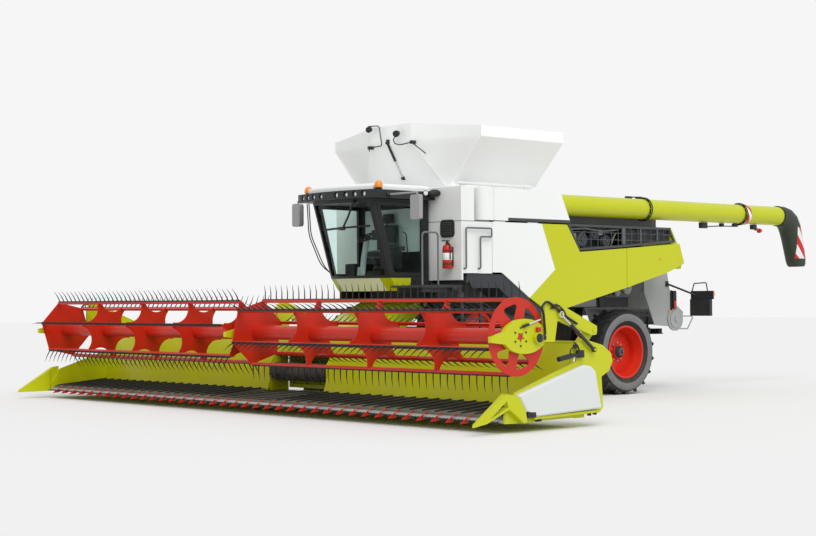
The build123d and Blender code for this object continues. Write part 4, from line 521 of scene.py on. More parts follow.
def makePiece(name, finishOf, body, parts, sides=(1,), replaced=()):
    # Parts are given for the left, and the side -1 mirrors them. Their columns are
    # boxes: low corner, high corner, edge; tubes: points, radius, bend, sides round it;
    # rounds: profile, centre, axis, sides round it; plates: outline in y and z, inner x, outer x, edge
    bm = bmesh.new()
    for side in sides:
        for low, high, edge in parts.get("boxes", ()):
            xs = sorted((side * low[0], side * high[0]))
            addBox(bm, (xs[0], *low[1:]), (xs[1], *high[1:]), edge)
        for points, radius, bend, around in parts.get("tubes", ()):
            addTube(bm, [mirrored(p, side) for p in points], radius, bend, around)
        for profile, centre, axis, around in parts.get("rounds", ()):
            addTurned(bm, profile, mirrored(centre, side), mirrored(axis, side), around)
        for outline, inner, outer, edge in parts.get("plates", ()):
            addPlate(bm, outline, 0, *sorted((side * inner, side * outer)), edge)
    return toPiece(name, bm, finishOf, body, replaced)


# Geometry Nodes for what repeats


def buildTree(name, sockets, kinds, wires):
    # Named inputs and a finish go in, and the last node's copies come out as one mesh. Wires: node, output,
    # node, input. The identifiers to set the inputs by are kept on the tree.
    tree = bpy.data.node_groups.new(name, "GeometryNodeTree")
    tree.interface.new_socket("Geometry", in_out="OUTPUT", socket_type="NodeSocketGeometry")
    keys = {}
    for label, kind in (*sockets, ("Finish", "Material")):
        socket = tree.interface.new_socket(label, in_out="INPUT", socket_type="NodeSocket" + kind)
        keys[label] = socket.identifier
    tree["keys"] = keys
    nodes = {"in": tree.nodes.new("NodeGroupInput"), "out": tree.nodes.new("NodeGroupOutput")}
    for label, kind in (*kinds, ("realize", "RealizeInstances"), ("paint", "SetMaterial")):
        nodes[label] = tree.nodes.new("GeometryNode" + kind)
        nodes[label].name = label
    ending = ((kinds[-1][0], 0, "realize", 0), ("realize", 0, "paint", "Geometry"),
              ("in", "Finish", "paint", "Material"), ("paint", 0, "out", "Geometry"))
    for source, output, target, socket in wires + ending:
        tree.links.new(nodes[source].outputs[output], nodes[target].inputs[socket])
    return tree


def grow(tree, rows):
    # Runs the tree once for each row of input values, and joins the results into one mesh
    whole = bmesh.new()
    for values in rows:
        holder = bpy.data.objects.new("holder", bpy.data.meshes.new("holder"))
        bpy.context.scene.collection.objects.link(holder)
        modifier = holder.modifiers.new("grow", "NODES")
        modifier.node_group = tree
        for label, value in values.items():
            modifier[tree["keys"][label]] = value
        holder.update_tag()
        graph = bpy.context.evaluated_depsgraph_get()
        mesh = bpy.data.meshes.new_from_object(holder.evaluated_get(graph))
        whole.from_mesh(mesh)
        bpy.data.objects.remove(holder)
    mesh = bpy.data.meshes.new("grown")
    whole.to_mesh(mesh)
    whole.free()
    return mesh


# Bolt heads round a circle, and equal blocks in a row
boltRing = buildTree(
    "boltRing",
    (("Count", "Int"), ("Ring", "Float"), ("Bolt", "Float"), ("Height", "Float"), ("Centre", "Vector"),
     ("Turn", "Vector")),
    (("circle", "MeshCircle"), ("bolt", "MeshCylinder"), ("copies", "InstanceOnPoints"), ("move", "Transform")),
    (("in", "Count", "circle", "Vertices"), ("in", "Ring", "circle", "Radius"),
     ("in", "Bolt", "bolt", "Radius"), ("in", "Height", "bolt", "Depth"),
     ("circle", 0, "copies", "Points"), ("bolt", "Mesh", "copies", "Instance"),
     ("copies", 0, "move", "Geometry"), ("in", "Centre", "move", "Translation"),
     ("in", "Turn", "move", "Rotation")))
boltRing.nodes["bolt"].inputs["Vertices"].default_value = 6
blockRow = buildTree(
    "blockRow",
    (("Count", "Int"), ("Start", "Vector"), ("Step", "Vector"), ("Size", "Vector"), ("Turn", "Vector")),
    (("line", "MeshLine"), ("block", "MeshCube"), ("copies", "InstanceOnPoints")),
    (("in", "Count", "line", "Count"), ("in", "Start", "line", "Start Location"),
     ("in", "Step", "line", "Offset"), ("in", "Size", "block", "Size"),
     ("line", 0, "copies", "Points"), ("block", "Mesh", "copies", "Instance"),
     ("in", "Turn", "copies", "Rotation")))
acrossX = (0.0, math.pi / 2, 0.0)
acrossY = (math.pi / 2, 0.0, 0.0)


def grownPiece(name, tree, labels, rows, finishOf, body):
    made = []
    for row in rows:
        values = dict(zip(labels, row), Finish=finishOf)
        for label in ("Centre", "Start"):
            if label in values:
                values[label] = at(*values[label])
        made.append(values)
    return meshPiece(name, grow(tree, made), finishOf, body)


def boltPiece(name, rings, finishOf, body):
    # Each ring: count, ring radius, bolt radius, height, centre, turn
    labels = ("Count", "Ring", "Bolt", "Height", "Centre", "Turn")
    return grownPiece(name, boltRing, labels, rings, finishOf, body)


def rowPiece(name, rows, finishOf, body):
    # Each row: count, first centre, step, block size, turn
    labels = ("Count", "Start", "Step", "Size", "Turn")
    return grownPiece(name, blockRow, labels, rows, finishOf, body)


print("tools ready")

# Grain tank gussets: cloth corners between the covers
gusset = {
    "across": 14,
    "up": 8,
    "sag": 0.035,
    "side": {"fold": (1.983, 4.703), "foot": (1.262, 3.955), "top": 4.888},
    "front": {"fold": (0.565, -0.522, 4.69), "foot": (1.095, -0.175, 3.89), "top": 5.025, "y": -0.182,
              "inward": 1},
    "rear": {"fold": (0.565, 2.184, 4.5), "foot": (0.985, 1.925, 3.89), "top": 4.835, "y": 1.928,
             "inward": -1},
}


def gussetGrid(end, side, g):
    # Rows from the foot to the fold, then on to the top of the lips
    hem = g["side"]
    sideLine = [Vector((x, end["y"], z)) for x, z in (hem["foot"], hem["fold"], (hem["fold"][0], hem["top"]))]
    endLine = [Vector(end["foot"]), Vector(end["fold"]), Vector((*end["fold"][:2], end["top"]))]
    rows = []
    for part in range(2):
        for k in range(g["up"] + part):
            t = k / g["up"]
            a = endLine[part].lerp(endLine[part + 1], t)
            b = sideLine[part].lerp(sideLine[part + 1], t)
            row = []
            for j in range(g["across"] + 1):
                s = j / g["across"]
                point = a.lerp(b, s)
                point.y += end["inward"] * g["sag"] * 4 * s * (1 - s) * min(1.0, (b - a).length)
                point.x *= side
                row.append(point)
            rows.append(row)
    return rows


def sewGusset(endName, sideName, side, g):
    cover, joint = "cover_" + sideName, "cover_" + sideName + "_fold"
    bm = bmesh.new()
    grid = [[bm.verts.new(p) for p in row] for row in gussetGrid(g[endName], side, g)]
    for a, b in zip(grid, grid[1:]):
        for j in range(len(a) - 1):
            bm.faces.new((a[j], a[j + 1], b[j + 1], b[j]))
    area = sum(f.calc_area() for f in bm.faces)
    piece = toPiece("gusset_" + endName + "_" + sideName, bm, gussetCloth, cover, crease=None)
    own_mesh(piece)


for sideName, side in (("left", 1), ("right", -1)):
    for endName in ("front", "rear"):
        sewGusset(endName, sideName, side, gusset)
print("gussets sewn")

# Strut and lamp arms on the front cover
coverGear = {
    "strut": ((-0.053, -0.557, 4.713), (0.064, -0.286, 4.075)),
    "rodShare": 0.52,
    "pin": ((-0.03, 0.022), (0.03, 0.022)),
    "footBlock": ((-0.035, 0, -0.01), (0.035, 0.05, 0.06)),
    "endBlock": ((-0.03, 0, -0.03), (0.03, 0.06, 0.03)),
    "armBlock": ((-0.03, -0.02, -0.03), (0.03, 0.085, 0.03)),
    "arms": (
        ((-0.533, -0.6, 5.05), (-0.226, -0.6, 5.038), (-0.147, -0.6, 4.662), (-0.5, -0.6, 4.655),
         (-0.55, -0.56, 4.6)),
        ((0.278, -0.6, 4.846), (0.155, -0.6, 4.76), (0.2, -0.6, 4.68), (0.343, -0.6, 4.643),
         (0.638, -0.59, 4.674), (0.86, -0.45, 4.46)),
    ),
    "lamps": (((-0.45, -0.64, 4.985), 0.055), ((0.3, -0.64, 4.85), 0.06)),
    "lampShape": ((-0.05, 0.5), (-0.03, 0.9), (0.03, 1), (0.045, 1), (0.048, 0.86), (0.04, 0.8), (0.044, 0)),
    "lampFacing": (0.35, -0.85, -0.25),
}
foot, end = (Vector(p) for p in coverGear["strut"])
waist = foot.lerp(end, coverGear["rodShare"])
blocks = [(foot, "footBlock"), (end, "endBlock")] + [(route[-2], "armBlock") for route in coverGear["arms"]]
makePiece("cover_struts", trimPlastic, "cover_front", {
    "tubes": [((foot, waist), 0.022, 0, 10)] + [(route, 0.01, 0.06, 10) for route in coverGear["arms"]],
    "rounds": [(coverGear["pin"], point, (1, 0, 0), 14) for point in (foot, end)]
    + [(scaled(coverGear["lampShape"], radius), point, coverGear["lampFacing"], 20)
       for point, radius in coverGear["lamps"]],
    "boxes": [moved(point, coverGear[block], 0.006) for point, block in blocks],
})
makePiece("cover_strut_rods", zincSteel, "cover_front", {"tubes": [((waist, end), 0.01, 0, 10)]})

# Cab: seat, column and wheel
pads = {  # low corner, high corner, crown
    "seat_cushion": ((-0.26, -1, 2.62), (0.26, -0.515, 2.74), 0.018),
    "seat_back": ((-0.24, -0.64, 2.75), (0.24, -0.52, 3.22), 0.012),
    "head_rest": ((-0.13, -0.63, 3.24), (0.13, -0.545, 3.42), 0.01),
    "arm_rest": ((0.275, -1.06, 2.8), (0.375, -0.64, 2.87), 0.005),
}


def addPad(bm, low, high, crown, cuts=7):
    # A cushion: full in the middle, drawn in at its seams and corners
    bmesh.ops.create_cube(bm, size=2.0)
    bmesh.ops.subdivide_edges(bm, edges=bm.edges[:], cuts=cuts, use_grid_fill=True)
    low, high = Vector(low), Vector(high)
    half, centre = (high - low) / 2, (low + high) / 2
    thin = min(range(3), key=lambda k: half[k])
    a, b = (k for k in range(3) if k != thin)
    for v in bm.verts:
        p = v.co.copy()
        full = (1 - p[a] ** 4) * (1 - p[b] ** 4)
        length = max(abs(c) for c in p) / max(1e-6, p.length) * 1.18
        rounded = p * (0.82 + 0.18 * min(1.0, length))
        rounded[thin] = p[thin] * (0.72 + 0.28 * full)
        if abs(p[thin]) > 0.99:
            rounded[thin] += math.copysign(crown / half[thin] * full, p[thin])
        v.co = Vector([centre[k] + half[k] * rounded[k] for k in range(3)])


for name, row in pads.items():
    bm = bmesh.new()
    addPad(bm, *row)
    piece = toPiece(name, bm, seatCloth, "chassis", ("cab_interior",), crease=180)
    soften = piece.modifiers.new("soften", "SUBSURF")
    soften.levels = soften.render_levels = 1
makePiece("seat_frame", trimPlastic, "chassis", {
    "boxes": (
        ((-0.2, -0.96, 2.201), (0.2, -0.58, 2.38), 0.02),
        ((-0.24, -0.66, 2.6), (0.24, -0.625, 3.18), 0.012),
        ((0.27, -1.04, 2.4), (0.4, -0.62, 2.79), 0.02),
        ((0.26, -1.22, 2.92), (0.52, -1.19, 3.1), 0.01),
        ((-0.62, -1.1, 2.2), (-0.36, -0.62, 2.52), 0.02),
    ),
    "rounds": ((
        ((0, 0.13), (0.05, 0.14), (0.09, 0.11), (0.13, 0.14), (0.17, 0.11), (0.21, 0.15), (0.235, 0.15)),
        (0, -0.78, 2.38), (0, 0, 1), 20),),
    "tubes": (
        (((0.33, -1, 2.79), (0.36, -1.12, 2.86), (0.38, -1.19, 2.98)), 0.014, 0.03, 10),
        (((0, -0.645, 3.18), (0, -0.6, 3.3)), 0.012, 0, 10),
    ),
}, replaced=("cab_interior",))
makePiece("steering_column", columnGrey, "chassis", {"tubes": (
    (((-0.02, -1.2, 2.2), (0, -1.18, 2.6), (0.045, -1.14, 2.94)), 0.052, 0.1, 18),
    (((-0.09, -1.24, 2.2), (-0.07, -1.22, 2.45)), 0.03, 0, 12),
)}, replaced=("cab_interior",))
wheel = {
    "centre": Vector((0.05, -1.13, 2.985)),
    "tilt": Vector((0, -0.42, 0.91)),
    "radius": 0.19,
    "steps": 28,
    "spokes": (90, 210, 330),
    "spoke": 0.185,
    "nave": ((-0.05, 0.03), (-0.02, 0.06), (0.012, 0.055), (0.02, 0.03), (0.022, 0)),
}


def onWheel(radius, angle):
    side = Vector((1, 0, 0))
    up = wheel["tilt"].cross(side).normalized()
    return wheel["centre"] + radius * (math.cos(angle) * side + math.sin(angle) * up)


rim = [onWheel(wheel["radius"], 2 * math.pi * k / wheel["steps"]) for k in range(wheel["steps"] + 1)]
makePiece("steering_wheel", trimPlastic, "chassis", {
    "tubes": [(rim, 0.015, 0, 8)] + [((wheel["centre"], onWheel(wheel["spoke"], math.radians(a))), 0.013, 0, 8)
                                     for a in wheel["spokes"]],
    "rounds": ((wheel["nave"], wheel["centre"], wheel["tilt"], 18),),
}, replaced=("cab_interior",))
print("cab fitted out")

# Work lamps in the roof's bowed front, a lamp on its side, and beacons
lamps = {
    "xs": (-0.83, -0.64, -0.44, -0.21, 0.21, 0.44, 0.64, 0.83),
    "z": 3.692,
    "radius": 0.05,
    "edgeY": -1.785,
    "bow": 0.16,
    "halfWidth": 1.04,
    "bezel": ((-0.068, 0.7), (-0.05, 1), (0.012, 1), (0.016, 0.92), (0.008, 0.84)),
    "lens": ((0.01, 0.9), (0.02, 0.8), (0.028, 0.4), (0.03, 0)),
    "side": ((1.058, -0.64, 3.735), (0.75, -0.6, -0.15), 18),
    "beacon": (0.965, -1.66, 3.7655),
    "beaconRadius": 0.074,
    "beaconFoot": ((0, 0.85), (0.018, 0.9), (0.03, 0.7), (0.034, 0.7)),
    "beaconDome": ((0.0345, 0.96), (0.06, 1), (0.105, 0.93), (0.135, 0.72), (0.152, 0.4), (0.158, 0)),
}


def inRoof(shape):
    rows = []
    for x in lamps["xs"]:
        y = lamps["edgeY"] - lamps["bow"] * (1 - (x / lamps["halfWidth"]) ** 2)
        rows.append((scaled(lamps[shape], lamps["radius"]), (x, y, lamps["z"]), (0, -1, 0), 20))
    return rows


makePiece("lamp_bezels", trimPlastic, "chassis", {"rounds": inRoof("bezel") + [
    (((-0.05, 0.02), (-0.04, 0.045), (0, 0.05), (0.012, 0.05)), *lamps["side"]),
    (((-0.13, 0), (-0.1, 0.045), (-0.03, 0.07), (0.05, 0.065), (0.12, 0.03), (0.15, 0)),
     (1.13, -0.5, 3.735), (0.2, 1, 0.05), 16),
]}, replaced=("lamps",))
makePiece("lamp_lenses", lampGlass, "chassis", {"rounds": inRoof("lens") + [
    (((0.004, 0.046), (0.016, 0.036), (0.024, 0)), *lamps["side"]),
]}, replaced=("lamps",))
for name, shape, around, paint, slot in (("beacon_feet", "beaconFoot", 24, trimPlastic, "trim"),
                                         ("beacon_domes", "beaconDome", 28, amberGlass, "lamp")):
    makePiece(name, paint, "chassis", {
        "rounds": ((scaled(lamps[shape], lamps["beaconRadius"]), lamps["beacon"], (0, 0, 1), around),),
    }, (-1, 1), ("lamps",))

# Mirrors: dark rims and sockets, and glass to the rear
mirror = {
    "z": (3.222, 3.638),
    "heads": ((-1, 1.47), (1, 1.77)),
    "half": 0.108,
    "inset": 0.014,
    "rimY": (-1.4745, -1.46),
    "glassY": (-1.4598, -1.457),
    "socket": ((0, 0.05), (0.02, 0.05), (0.035, 0.03), (0.05, 0.026)),
    "socketAt": (1.045, -1.5, 3.68),
}
mirrorRims, mirrorFaces = bmesh.new(), bmesh.new()
for side, reach in mirror["heads"]:
    for bm, inset, corner, ys, edge in ((mirrorRims, 0, 0.045, mirror["rimY"], 0.004),
                                        (mirrorFaces, mirror["inset"], 0.035, mirror["glassY"], 0)):
        low = (side * reach - mirror["half"] + inset, mirror["z"][0] + inset)
        high = (side * reach + mirror["half"] - inset, mirror["z"][1] - inset)
        addPlate(bm, roundedOutline(low, high, corner), 1, *ys, edge)
    addTurned(mirrorRims, mirror["socket"], mirrored(mirror["socketAt"], side), (side, 0, 0), 18)
toPiece("mirror_rims", mirrorRims, trimPlastic, "chassis")
toPiece("mirror_faces", mirrorFaces, mirrorGlass, "chassis")

# Wiper, grab tubes and door pull
screen = {
    "low": (-1.27, 2.26),
    "high": (-1.69, 3.62),
    "bow": 0.17,
    "halfWidth": 0.81,
    "blade": ((-0.53, 3.115), (0.68, 3.15)),
    "bladeSteps": 12,
    "arm": ((0.1, 3.12), (0.3, 3.32), (0.48, 3.56)),
}


def onScreen(x, z, gap):
    # A point off the bowed windscreen's face
    (lowY, lowZ), (highY, highZ) = screen["low"], screen["high"]
    lean = lowY + (z - lowZ) / (highZ - lowZ) * (highY - lowY)
    return (x, lean - screen["bow"] * (1 - (x / screen["halfWidth"]) ** 2) - gap, z)


screen["pivot"] = (*onScreen(0.48, 3.56, 0.002)[:2], 3.57)
shares = [k / screen["bladeSteps"] for k in range(screen["bladeSteps"] + 1)]
(xa, za), (xb, zb) = screen["blade"]
makePiece("wiper_and_grab_tubes", trimPlastic, "chassis", {
    "tubes": (
        ([onScreen(xa + (xb - xa) * s, za + (zb - za) * s, 0.022) for s in shares], 0.019, 0, 6),
        ([onScreen(x, z, 0.047) for x, z in screen["arm"]], 0.018, 0.04, 8),
        (((-0.93, -1.72, 3.6), (-1.1, -1.55, 3.05), (-1.04, -1.32, 2.5), (-0.86, -1.18, 2.32)), 0.01, 0.12, 8),
        (((-0.83, -1.76, 3.6), (-0.98, -1.6, 3.05), (-0.92, -1.36, 2.5), (-0.82, -1.24, 2.32)), 0.01, 0.12, 8),
    ),
    "boxes": (((0.04, -1.8, 3.09), (0.16, -1.73, 3.15), 0.01),),
    "rounds": ((((0, 0.03), (0.05, 0.03), (0.06, 0.02)), screen["pivot"], (0, -1, 0), 16),),
})
makePiece("door_pull", trimPlastic, "door", {
    "tubes": ((((0.905, -1.05, 3.05), (0.955, -1.02, 3.02), (0.955, -0.98, 2.62), (0.905, -0.98, 2.58)),
               0.012, 0.03, 8),),
    "boxes": (((0.885, -1.14, 2.72), (0.925, -1.02, 2.8), 0.01),),
})

# On the wall beside the cab: an air vent with slats, and the extinguisher
vent = {
    "low": (1.2, 2.95),
    "high": (1.535, 3.26),
    "corner": 0.06,
    "y": (-0.435, -0.4005),
    # count, first centre, step, block size, turn
    "slats": (8, (1.3675, -0.44, 3.005), (0, 0, 0.0285), (0.25, 0.018, 0.01), (0.35, 0, 0)),
}
ventFrame = bmesh.new()
addPlate(ventFrame, roundedOutline(vent["low"], vent["high"], vent["corner"]), 1, *vent["y"], 0.008)
toPiece("vent_frame", ventFrame, trimPlastic, "chassis")
rowPiece("vent_slats", [vent["slats"]], slatGrey, "chassis")

# The rest is measured from the bottle's foot
extinguisher = {
    "foot": Vector((1.455, -0.505, 2.4)),
    "body": ((0, 0.07), (0.012, 0.082), (0.02, 0.085), (0.36, 0.085), (0.4, 0.072), (0.42, 0.04),
             (0.425, 0.03)),
    "label": ((0.15, 0.0853), (0.152, 0.0862), (0.27, 0.0862), (0.272, 0.0853)),
    "neck": ((0.425, 0.032), (0.455, 0.032), (0.46, 0.02), (0.49, 0.02)),
    "straps": (((0.068, 0.0875), (0.092, 0.0875)), ((0.298, 0.0875), (0.322, 0.0875))),
    "lever": ((-0.02, -0.12, 0.475), (0.02, 0.05, 0.495)),
    "bracket": ((-0.05, 0.08, 0.04), (0.05, 0.1047, 0.38)),
    "hose": ((0.02, 0, 0.45), (0.09, -0.02, 0.42), (0.098, -0.02, 0.16)),
}
foot = extinguisher["foot"]
for name, shape, paint, slot in (("extinguisher_label", "label", whitePaint, "white_paint"),
                                 ("extinguisher", "body", redPaint, "red_paint")):
    makePiece(name, paint, "chassis", {"rounds": ((extinguisher[shape], foot, (0, 0, 1), 28),)})
makePiece("extinguisher_head", trimPlastic, "chassis", {
    "rounds": [(extinguisher["neck"], foot, (0, 0, 1), 16)]
    + [(strap, foot, (0, 0, 1), 28) for strap in extinguisher["straps"]],
    "boxes": (moved(foot, extinguisher["lever"], 0.006), moved(foot, extinguisher["bracket"], 0.004)),
    "tubes": (([foot + Vector(p) for p in extinguisher["hose"]], 0.011, 0.05, 8),),
})
print("cab trim ready")

# Unloading auger: rubber boot on its end, seams, marker band and brackets
boot = {
    # y, z, lean in degrees, half width, half depth
    "rings": (
        (9.302, 3.61, 0, 0.214, 0.214), (9.42, 3.608, 4, 0.216, 0.214), (9.56, 3.57, 24, 0.216, 0.225),
        (9.68, 3.49, 48, 0.214, 0.235), (9.765, 3.36, 66, 0.21, 0.238), (9.83, 3.18, 72, 0.205, 0.232),
        (9.885, 3, 74, 0.2, 0.228), (9.935, 2.82, 76, 0.195, 0.222), (9.975, 2.66, 79, 0.19, 0.215),
        (9.995, 2.57, 84, 0.178, 0.195), (10.002, 2.525, 88, 0.15, 0.165), (10.004, 2.535, 88, 0.135, 0.15),
        (9.985, 2.64, 84, 0.15, 0.17)),
    "centreX": 1.5,
    "square": 2.6,
    "sides": 32,
}


def bootRing(bm, y, z, lean, halfX, halfDepth, b):
    # A rounded square across the boot's own line, which leans down by so many degrees
    away = Vector((0, math.sin(math.radians(lean)), math.cos(math.radians(lean))))
    ring = []
    for k in range(b["sides"]):
        angle = 2 * math.pi * k / b["sides"]
        c, s = math.cos(angle), math.sin(angle)
        reach = (abs(c) ** b["square"] + abs(s) ** b["square"]) ** (-1 / b["square"]) if lean else 1.0
        centre = Vector((b["centreX"] + halfX * c * reach, y, z))
        ring.append(bm.verts.new(centre + away * halfDepth * s * reach))
    return ring


bootMesh = bmesh.new()
joinRings(bootMesh, [bootRing(bootMesh, *row, boot) for row in boot["rings"]])
toPiece("auger_boot", bootMesh, spoutRubber, "auger", ("auger_spout",), crease=50)


def roundTube(*profiles):
    # Turnings about the auger tube's line
    return [(profile, (1.5, 0, 3.61), (0, 1, 0), 48) for profile in profiles]


makePiece("auger_marker_band", markerBand, "auger", {
    "rounds": roundTube(((7.958, 0.2165), (7.96, 0.2185), (8.085, 0.2185), (8.087, 0.2165)))})
makePiece("auger_seams", trimPlastic, "auger", {
    "rounds": roundTube(
        *([(y - 0.004, 0.2345), (y, 0.2365), (y + 0.004, 0.2345)] for y in (4.755, 4.8005, 7.885, 7.9305)),
        ((9.288, 0.2165), (9.29, 0.222), (9.32, 0.222), (9.322, 0.2165))),
    "boxes": (((1.44, 4.3, 3.8), (1.5, 4.46, 3.853), 0.008), ((1.44, 4.62, 3.8), (1.5, 4.78, 3.853), 0.008)),
    "tubes": ((((1.47, 4.3, 3.835), (1.46, 4.6, 3.845), (1.47, 4.78, 3.85)), 0.012, 0.05, 8),),
})
makePiece("auger_hooks", framePaint, "auger", {
    "boxes": (
        ((1.46, 6.6, 3.285), (1.54, 6.8, 3.405), 0.01),
        ((1.46, 7.28, 3.33), (1.54, 7.36, 3.405), 0.01),
        ((1.46, 7.72, 3.34), (1.54, 7.84, 3.405), 0.01),
        ((1.455, 8.36, 3.3), (1.545, 8.5, 3.405), 0.012),
    ),
    "tubes": ((((1.5, 6.82, 3.325), (1.5, 7.3, 3.345), (1.5, 7.78, 3.352)), 0.011, 0.03, 8),),
})
makePiece("auger_rest_knob", redPaint, "auger", {
    "rounds": ((((0, 0.02), (0.01, 0.045), (0.05, 0.05), (0.09, 0.04), (0.1, 0.015)),
                (1.5, 8.6, 3.275), (0, 1, 0.1), 18),),
    "boxes": (((1.475, 8.49, 3.28), (1.525, 8.61, 3.33), 0.01),),
})
boltPiece("auger_flange_bolts", [(12, 0.2245, 0.009, 0.012, (1.5, y, 3.61), acrossY) for y in (4.745, 7.875)],
          zincSteel, "auger")
print("auger dressed")

# Behind the side grilles: radiator screen, drives and pipes
makePiece("engine_bay_screens", trimPlastic, "chassis", {
    "plates": (
        (((4.02, 2.845), (4.02, 3.205), (5.47, 3.205), (5.51, 2.97)), 1.58, 1.6, 0.003),
        (((2.5, 3.205), (2.76, 2.8), (4.01, 2.84), (4.01, 3.205)), 1.36, 1.38, 0.003),
    ),
    "tubes": (
        (((1.51, 2.93, 2.85), (1.51, 3.62, 2.855)), 0.012, 0, 6),
        (((1.51, 2.9, 3.11), (1.51, 3.3, 3.175), (1.51, 3.66, 3.06)), 0.012, 0.03, 6),
    ),
}, (-1, 1))
pulley = {
    "shape": ((-0.05, 0.3), (-0.05, 1), (-0.03, 1), (-0.02, 0.86), (0, 0.86), (0.01, 1), (0.03, 1), (0.03, 0.8),
              (0.005, 0.7), (0.005, 0.3), (0.04, 0.26), (0.04, 0)),
    # y, z, radius
    "at": ((2.93, 2.98, 0.13), (3.3, 3.09, 0.085), (3.62, 2.96, 0.105)),
}
makePiece("engine_bay_posts_and_pulleys", shellDark, "chassis", {
    "boxes": (
        ((1.652, 3.935, 2.89984), (1.684, 4.025, 3.225), 0.004),
        ((1.652, 4.472, 2.93962), (1.684, 4.508, 3.225), 0.004),
        ((1.652, 4.982, 2.9794), (1.684, 5.018, 3.225), 0.004),
    ),
    "rounds": [(scaled(pulley["shape"], r), (1.52, y, z), (1, 0, 0), 28) for y, z, r in pulley["at"]],
}, (-1, 1))
makePiece("engine_bay_machinery", shellGrey, "chassis", {
    "boxes": (((1.42, 2.66, 2.86), (1.52, 2.8, 3.1), 0.02), ((1.42, 3.42, 3.07), (1.52, 3.56, 3.19), 0.02)),
    "tubes": (
        (((1.55, 2.6, 3.17), (1.56, 3, 3.19), (1.54, 3.5, 3.15), (1.56, 3.93, 3.18)), 0.016, 0.06, 8),
        (((1.54, 3.76, 2.87), (1.56, 3.8, 3.02), (1.55, 3.9, 3.12)), 0.014, 0.06, 8),
    ),
}, (-1, 1))
louvres = [(12, (x, 4.72, 2.935), (0, 0, 0.0245), (0.012, 1.36, 0.007), (0.07, 0, 0)) for x in (-1.622, 1.622)]
rowPiece("radiator_louvres", louvres, shellDark, "chassis")
print("engine bay filled")

# Rear hood lamps and reflectors, and the lenses on the lamp arms
roundLens = ((0, 0.055), (0.012, 0.055), (0.02, 0.044), (0.024, 0))
makePiece("tail_lamp_cases", trimPlastic, "chassis", {"boxes": (
    ((0.8705, 6.395, 1.6), (0.9055, 6.425, 2.02), 0.004),
    ((0.8705, 6.425, 1.64), (0.9305, 6.53, 2.01), 0.008),
)}, (-1, 1))
makePiece("tail_lamp_lenses", redGlass, "chassis", {
    "boxes": (
        ((0.8785, 6.5302, 1.66), (0.9225, 6.546, 1.99), 0.006),
        ((0.9307, 6.44, 1.66), (0.9385, 6.52, 1.8), 0.003),
    ),
    "rounds": [(roundLens, (x, 6.6935, 1.66), (0, 1, 0), 24) for x in (1.33, 1.46)],
}, (-1, 1))
makePiece("amber_reflectors", amberGlass, "chassis", {
    "boxes": (
        ((0.8705, 6.33, 1.56), (0.8785, 6.385, 1.63), 0.003),
        ((1.7005, 5.02, 2.6), (1.7065, 5.075, 2.645), 0.002),
        ((1.778, 6.645, 1.9), (1.79, 6.685, 1.98), 0.003),
    ),
    "rounds": ((roundLens, (1.6, 6.6935, 1.66), (0, 1, 0), 24),),
}, (-1, 1))

# Between the body's lower edge and the rear wheel: side plates, lines, and the spreader's drive
makePiece("lower_side_covers", hoodGrey, "chassis", {
    "plates": ((((3.34, 1.7), (3.34, 1.95), (4.06, 2.03), (4.07, 1.7)), 0.8515, 0.8865, 0.005),),
    "rounds": (
        (((0, 0.13), (0.03, 0.14), (0.05, 0.12), (0.055, 0.04), (0.08, 0.035), (0.08, 0)),
         (0.8515, 5.02, 2.08), (1, 0, 0), 28),
        (((0, 0.07), (0.03, 0.08), (0.05, 0.06), (0.06, 0)), (0.8515, 4.72, 1.98), (1, 0, 0), 24),
    ),
}, (-1, 1))
# Near-black plates stand for the slots' openings: the darkness in them is painted shade
makePiece("lower_slot_shade_plates", trimPlastic, "chassis", {
    "plates": ((((4.12, 2.02), (4.28, 2.04), (4.3, 1.68), (4.16, 1.68)), 0.8515, 0.8965, 0.005),),
}, (-1, 1))
makePiece("axle_lines", trimPlastic, "chassis", {"tubes": [
    (((0.862, 4.34 + 0.13 * k, 1.9 + 0.02 * k), (0.868, 4.5 + 0.13 * k, 2.02 + 0.02 * k),
      (0.862, 4.7 + 0.13 * k, 2.16 + 0.03 * k)), 0.013, 0.12, 8) for k in range(4)
]}, (-1, 1))
print("rear end dressed")

# Rear wheels: hub faces and bolts
hub = {
    "x": 1.388,
    "nave": ((-0.005, 0.118), (0.014, 0.118), (0.02, 0.1), (0.05, 0.092), (0.058, 0.08), (0.062, 0)),
    # x, count, ring radius, bolt radius, height
    "bolts": ((1.338, 10, 0.172, 0.015, 0.026), (1.452, 8, 0.055, 0.009, 0.016)),
}
for sideName, side in (("left", 1), ("right", -1)):
    makePiece("rear_hub_" + sideName, castDark, "wheel_" + sideName, {
        "rounds": ((hub["nave"], (hub["x"], wheelbase, rearHubZ), (1, 0, 0), 28),)}, (side,))
    rings = [(*sizes, (side * x, wheelbase, rearHubZ), acrossX) for x, *sizes in hub["bolts"]]
    boltPiece("rear_hub_bolts_" + sideName, rings, zincSteel, "wheel_" + sideName)
print("wheels bolted")

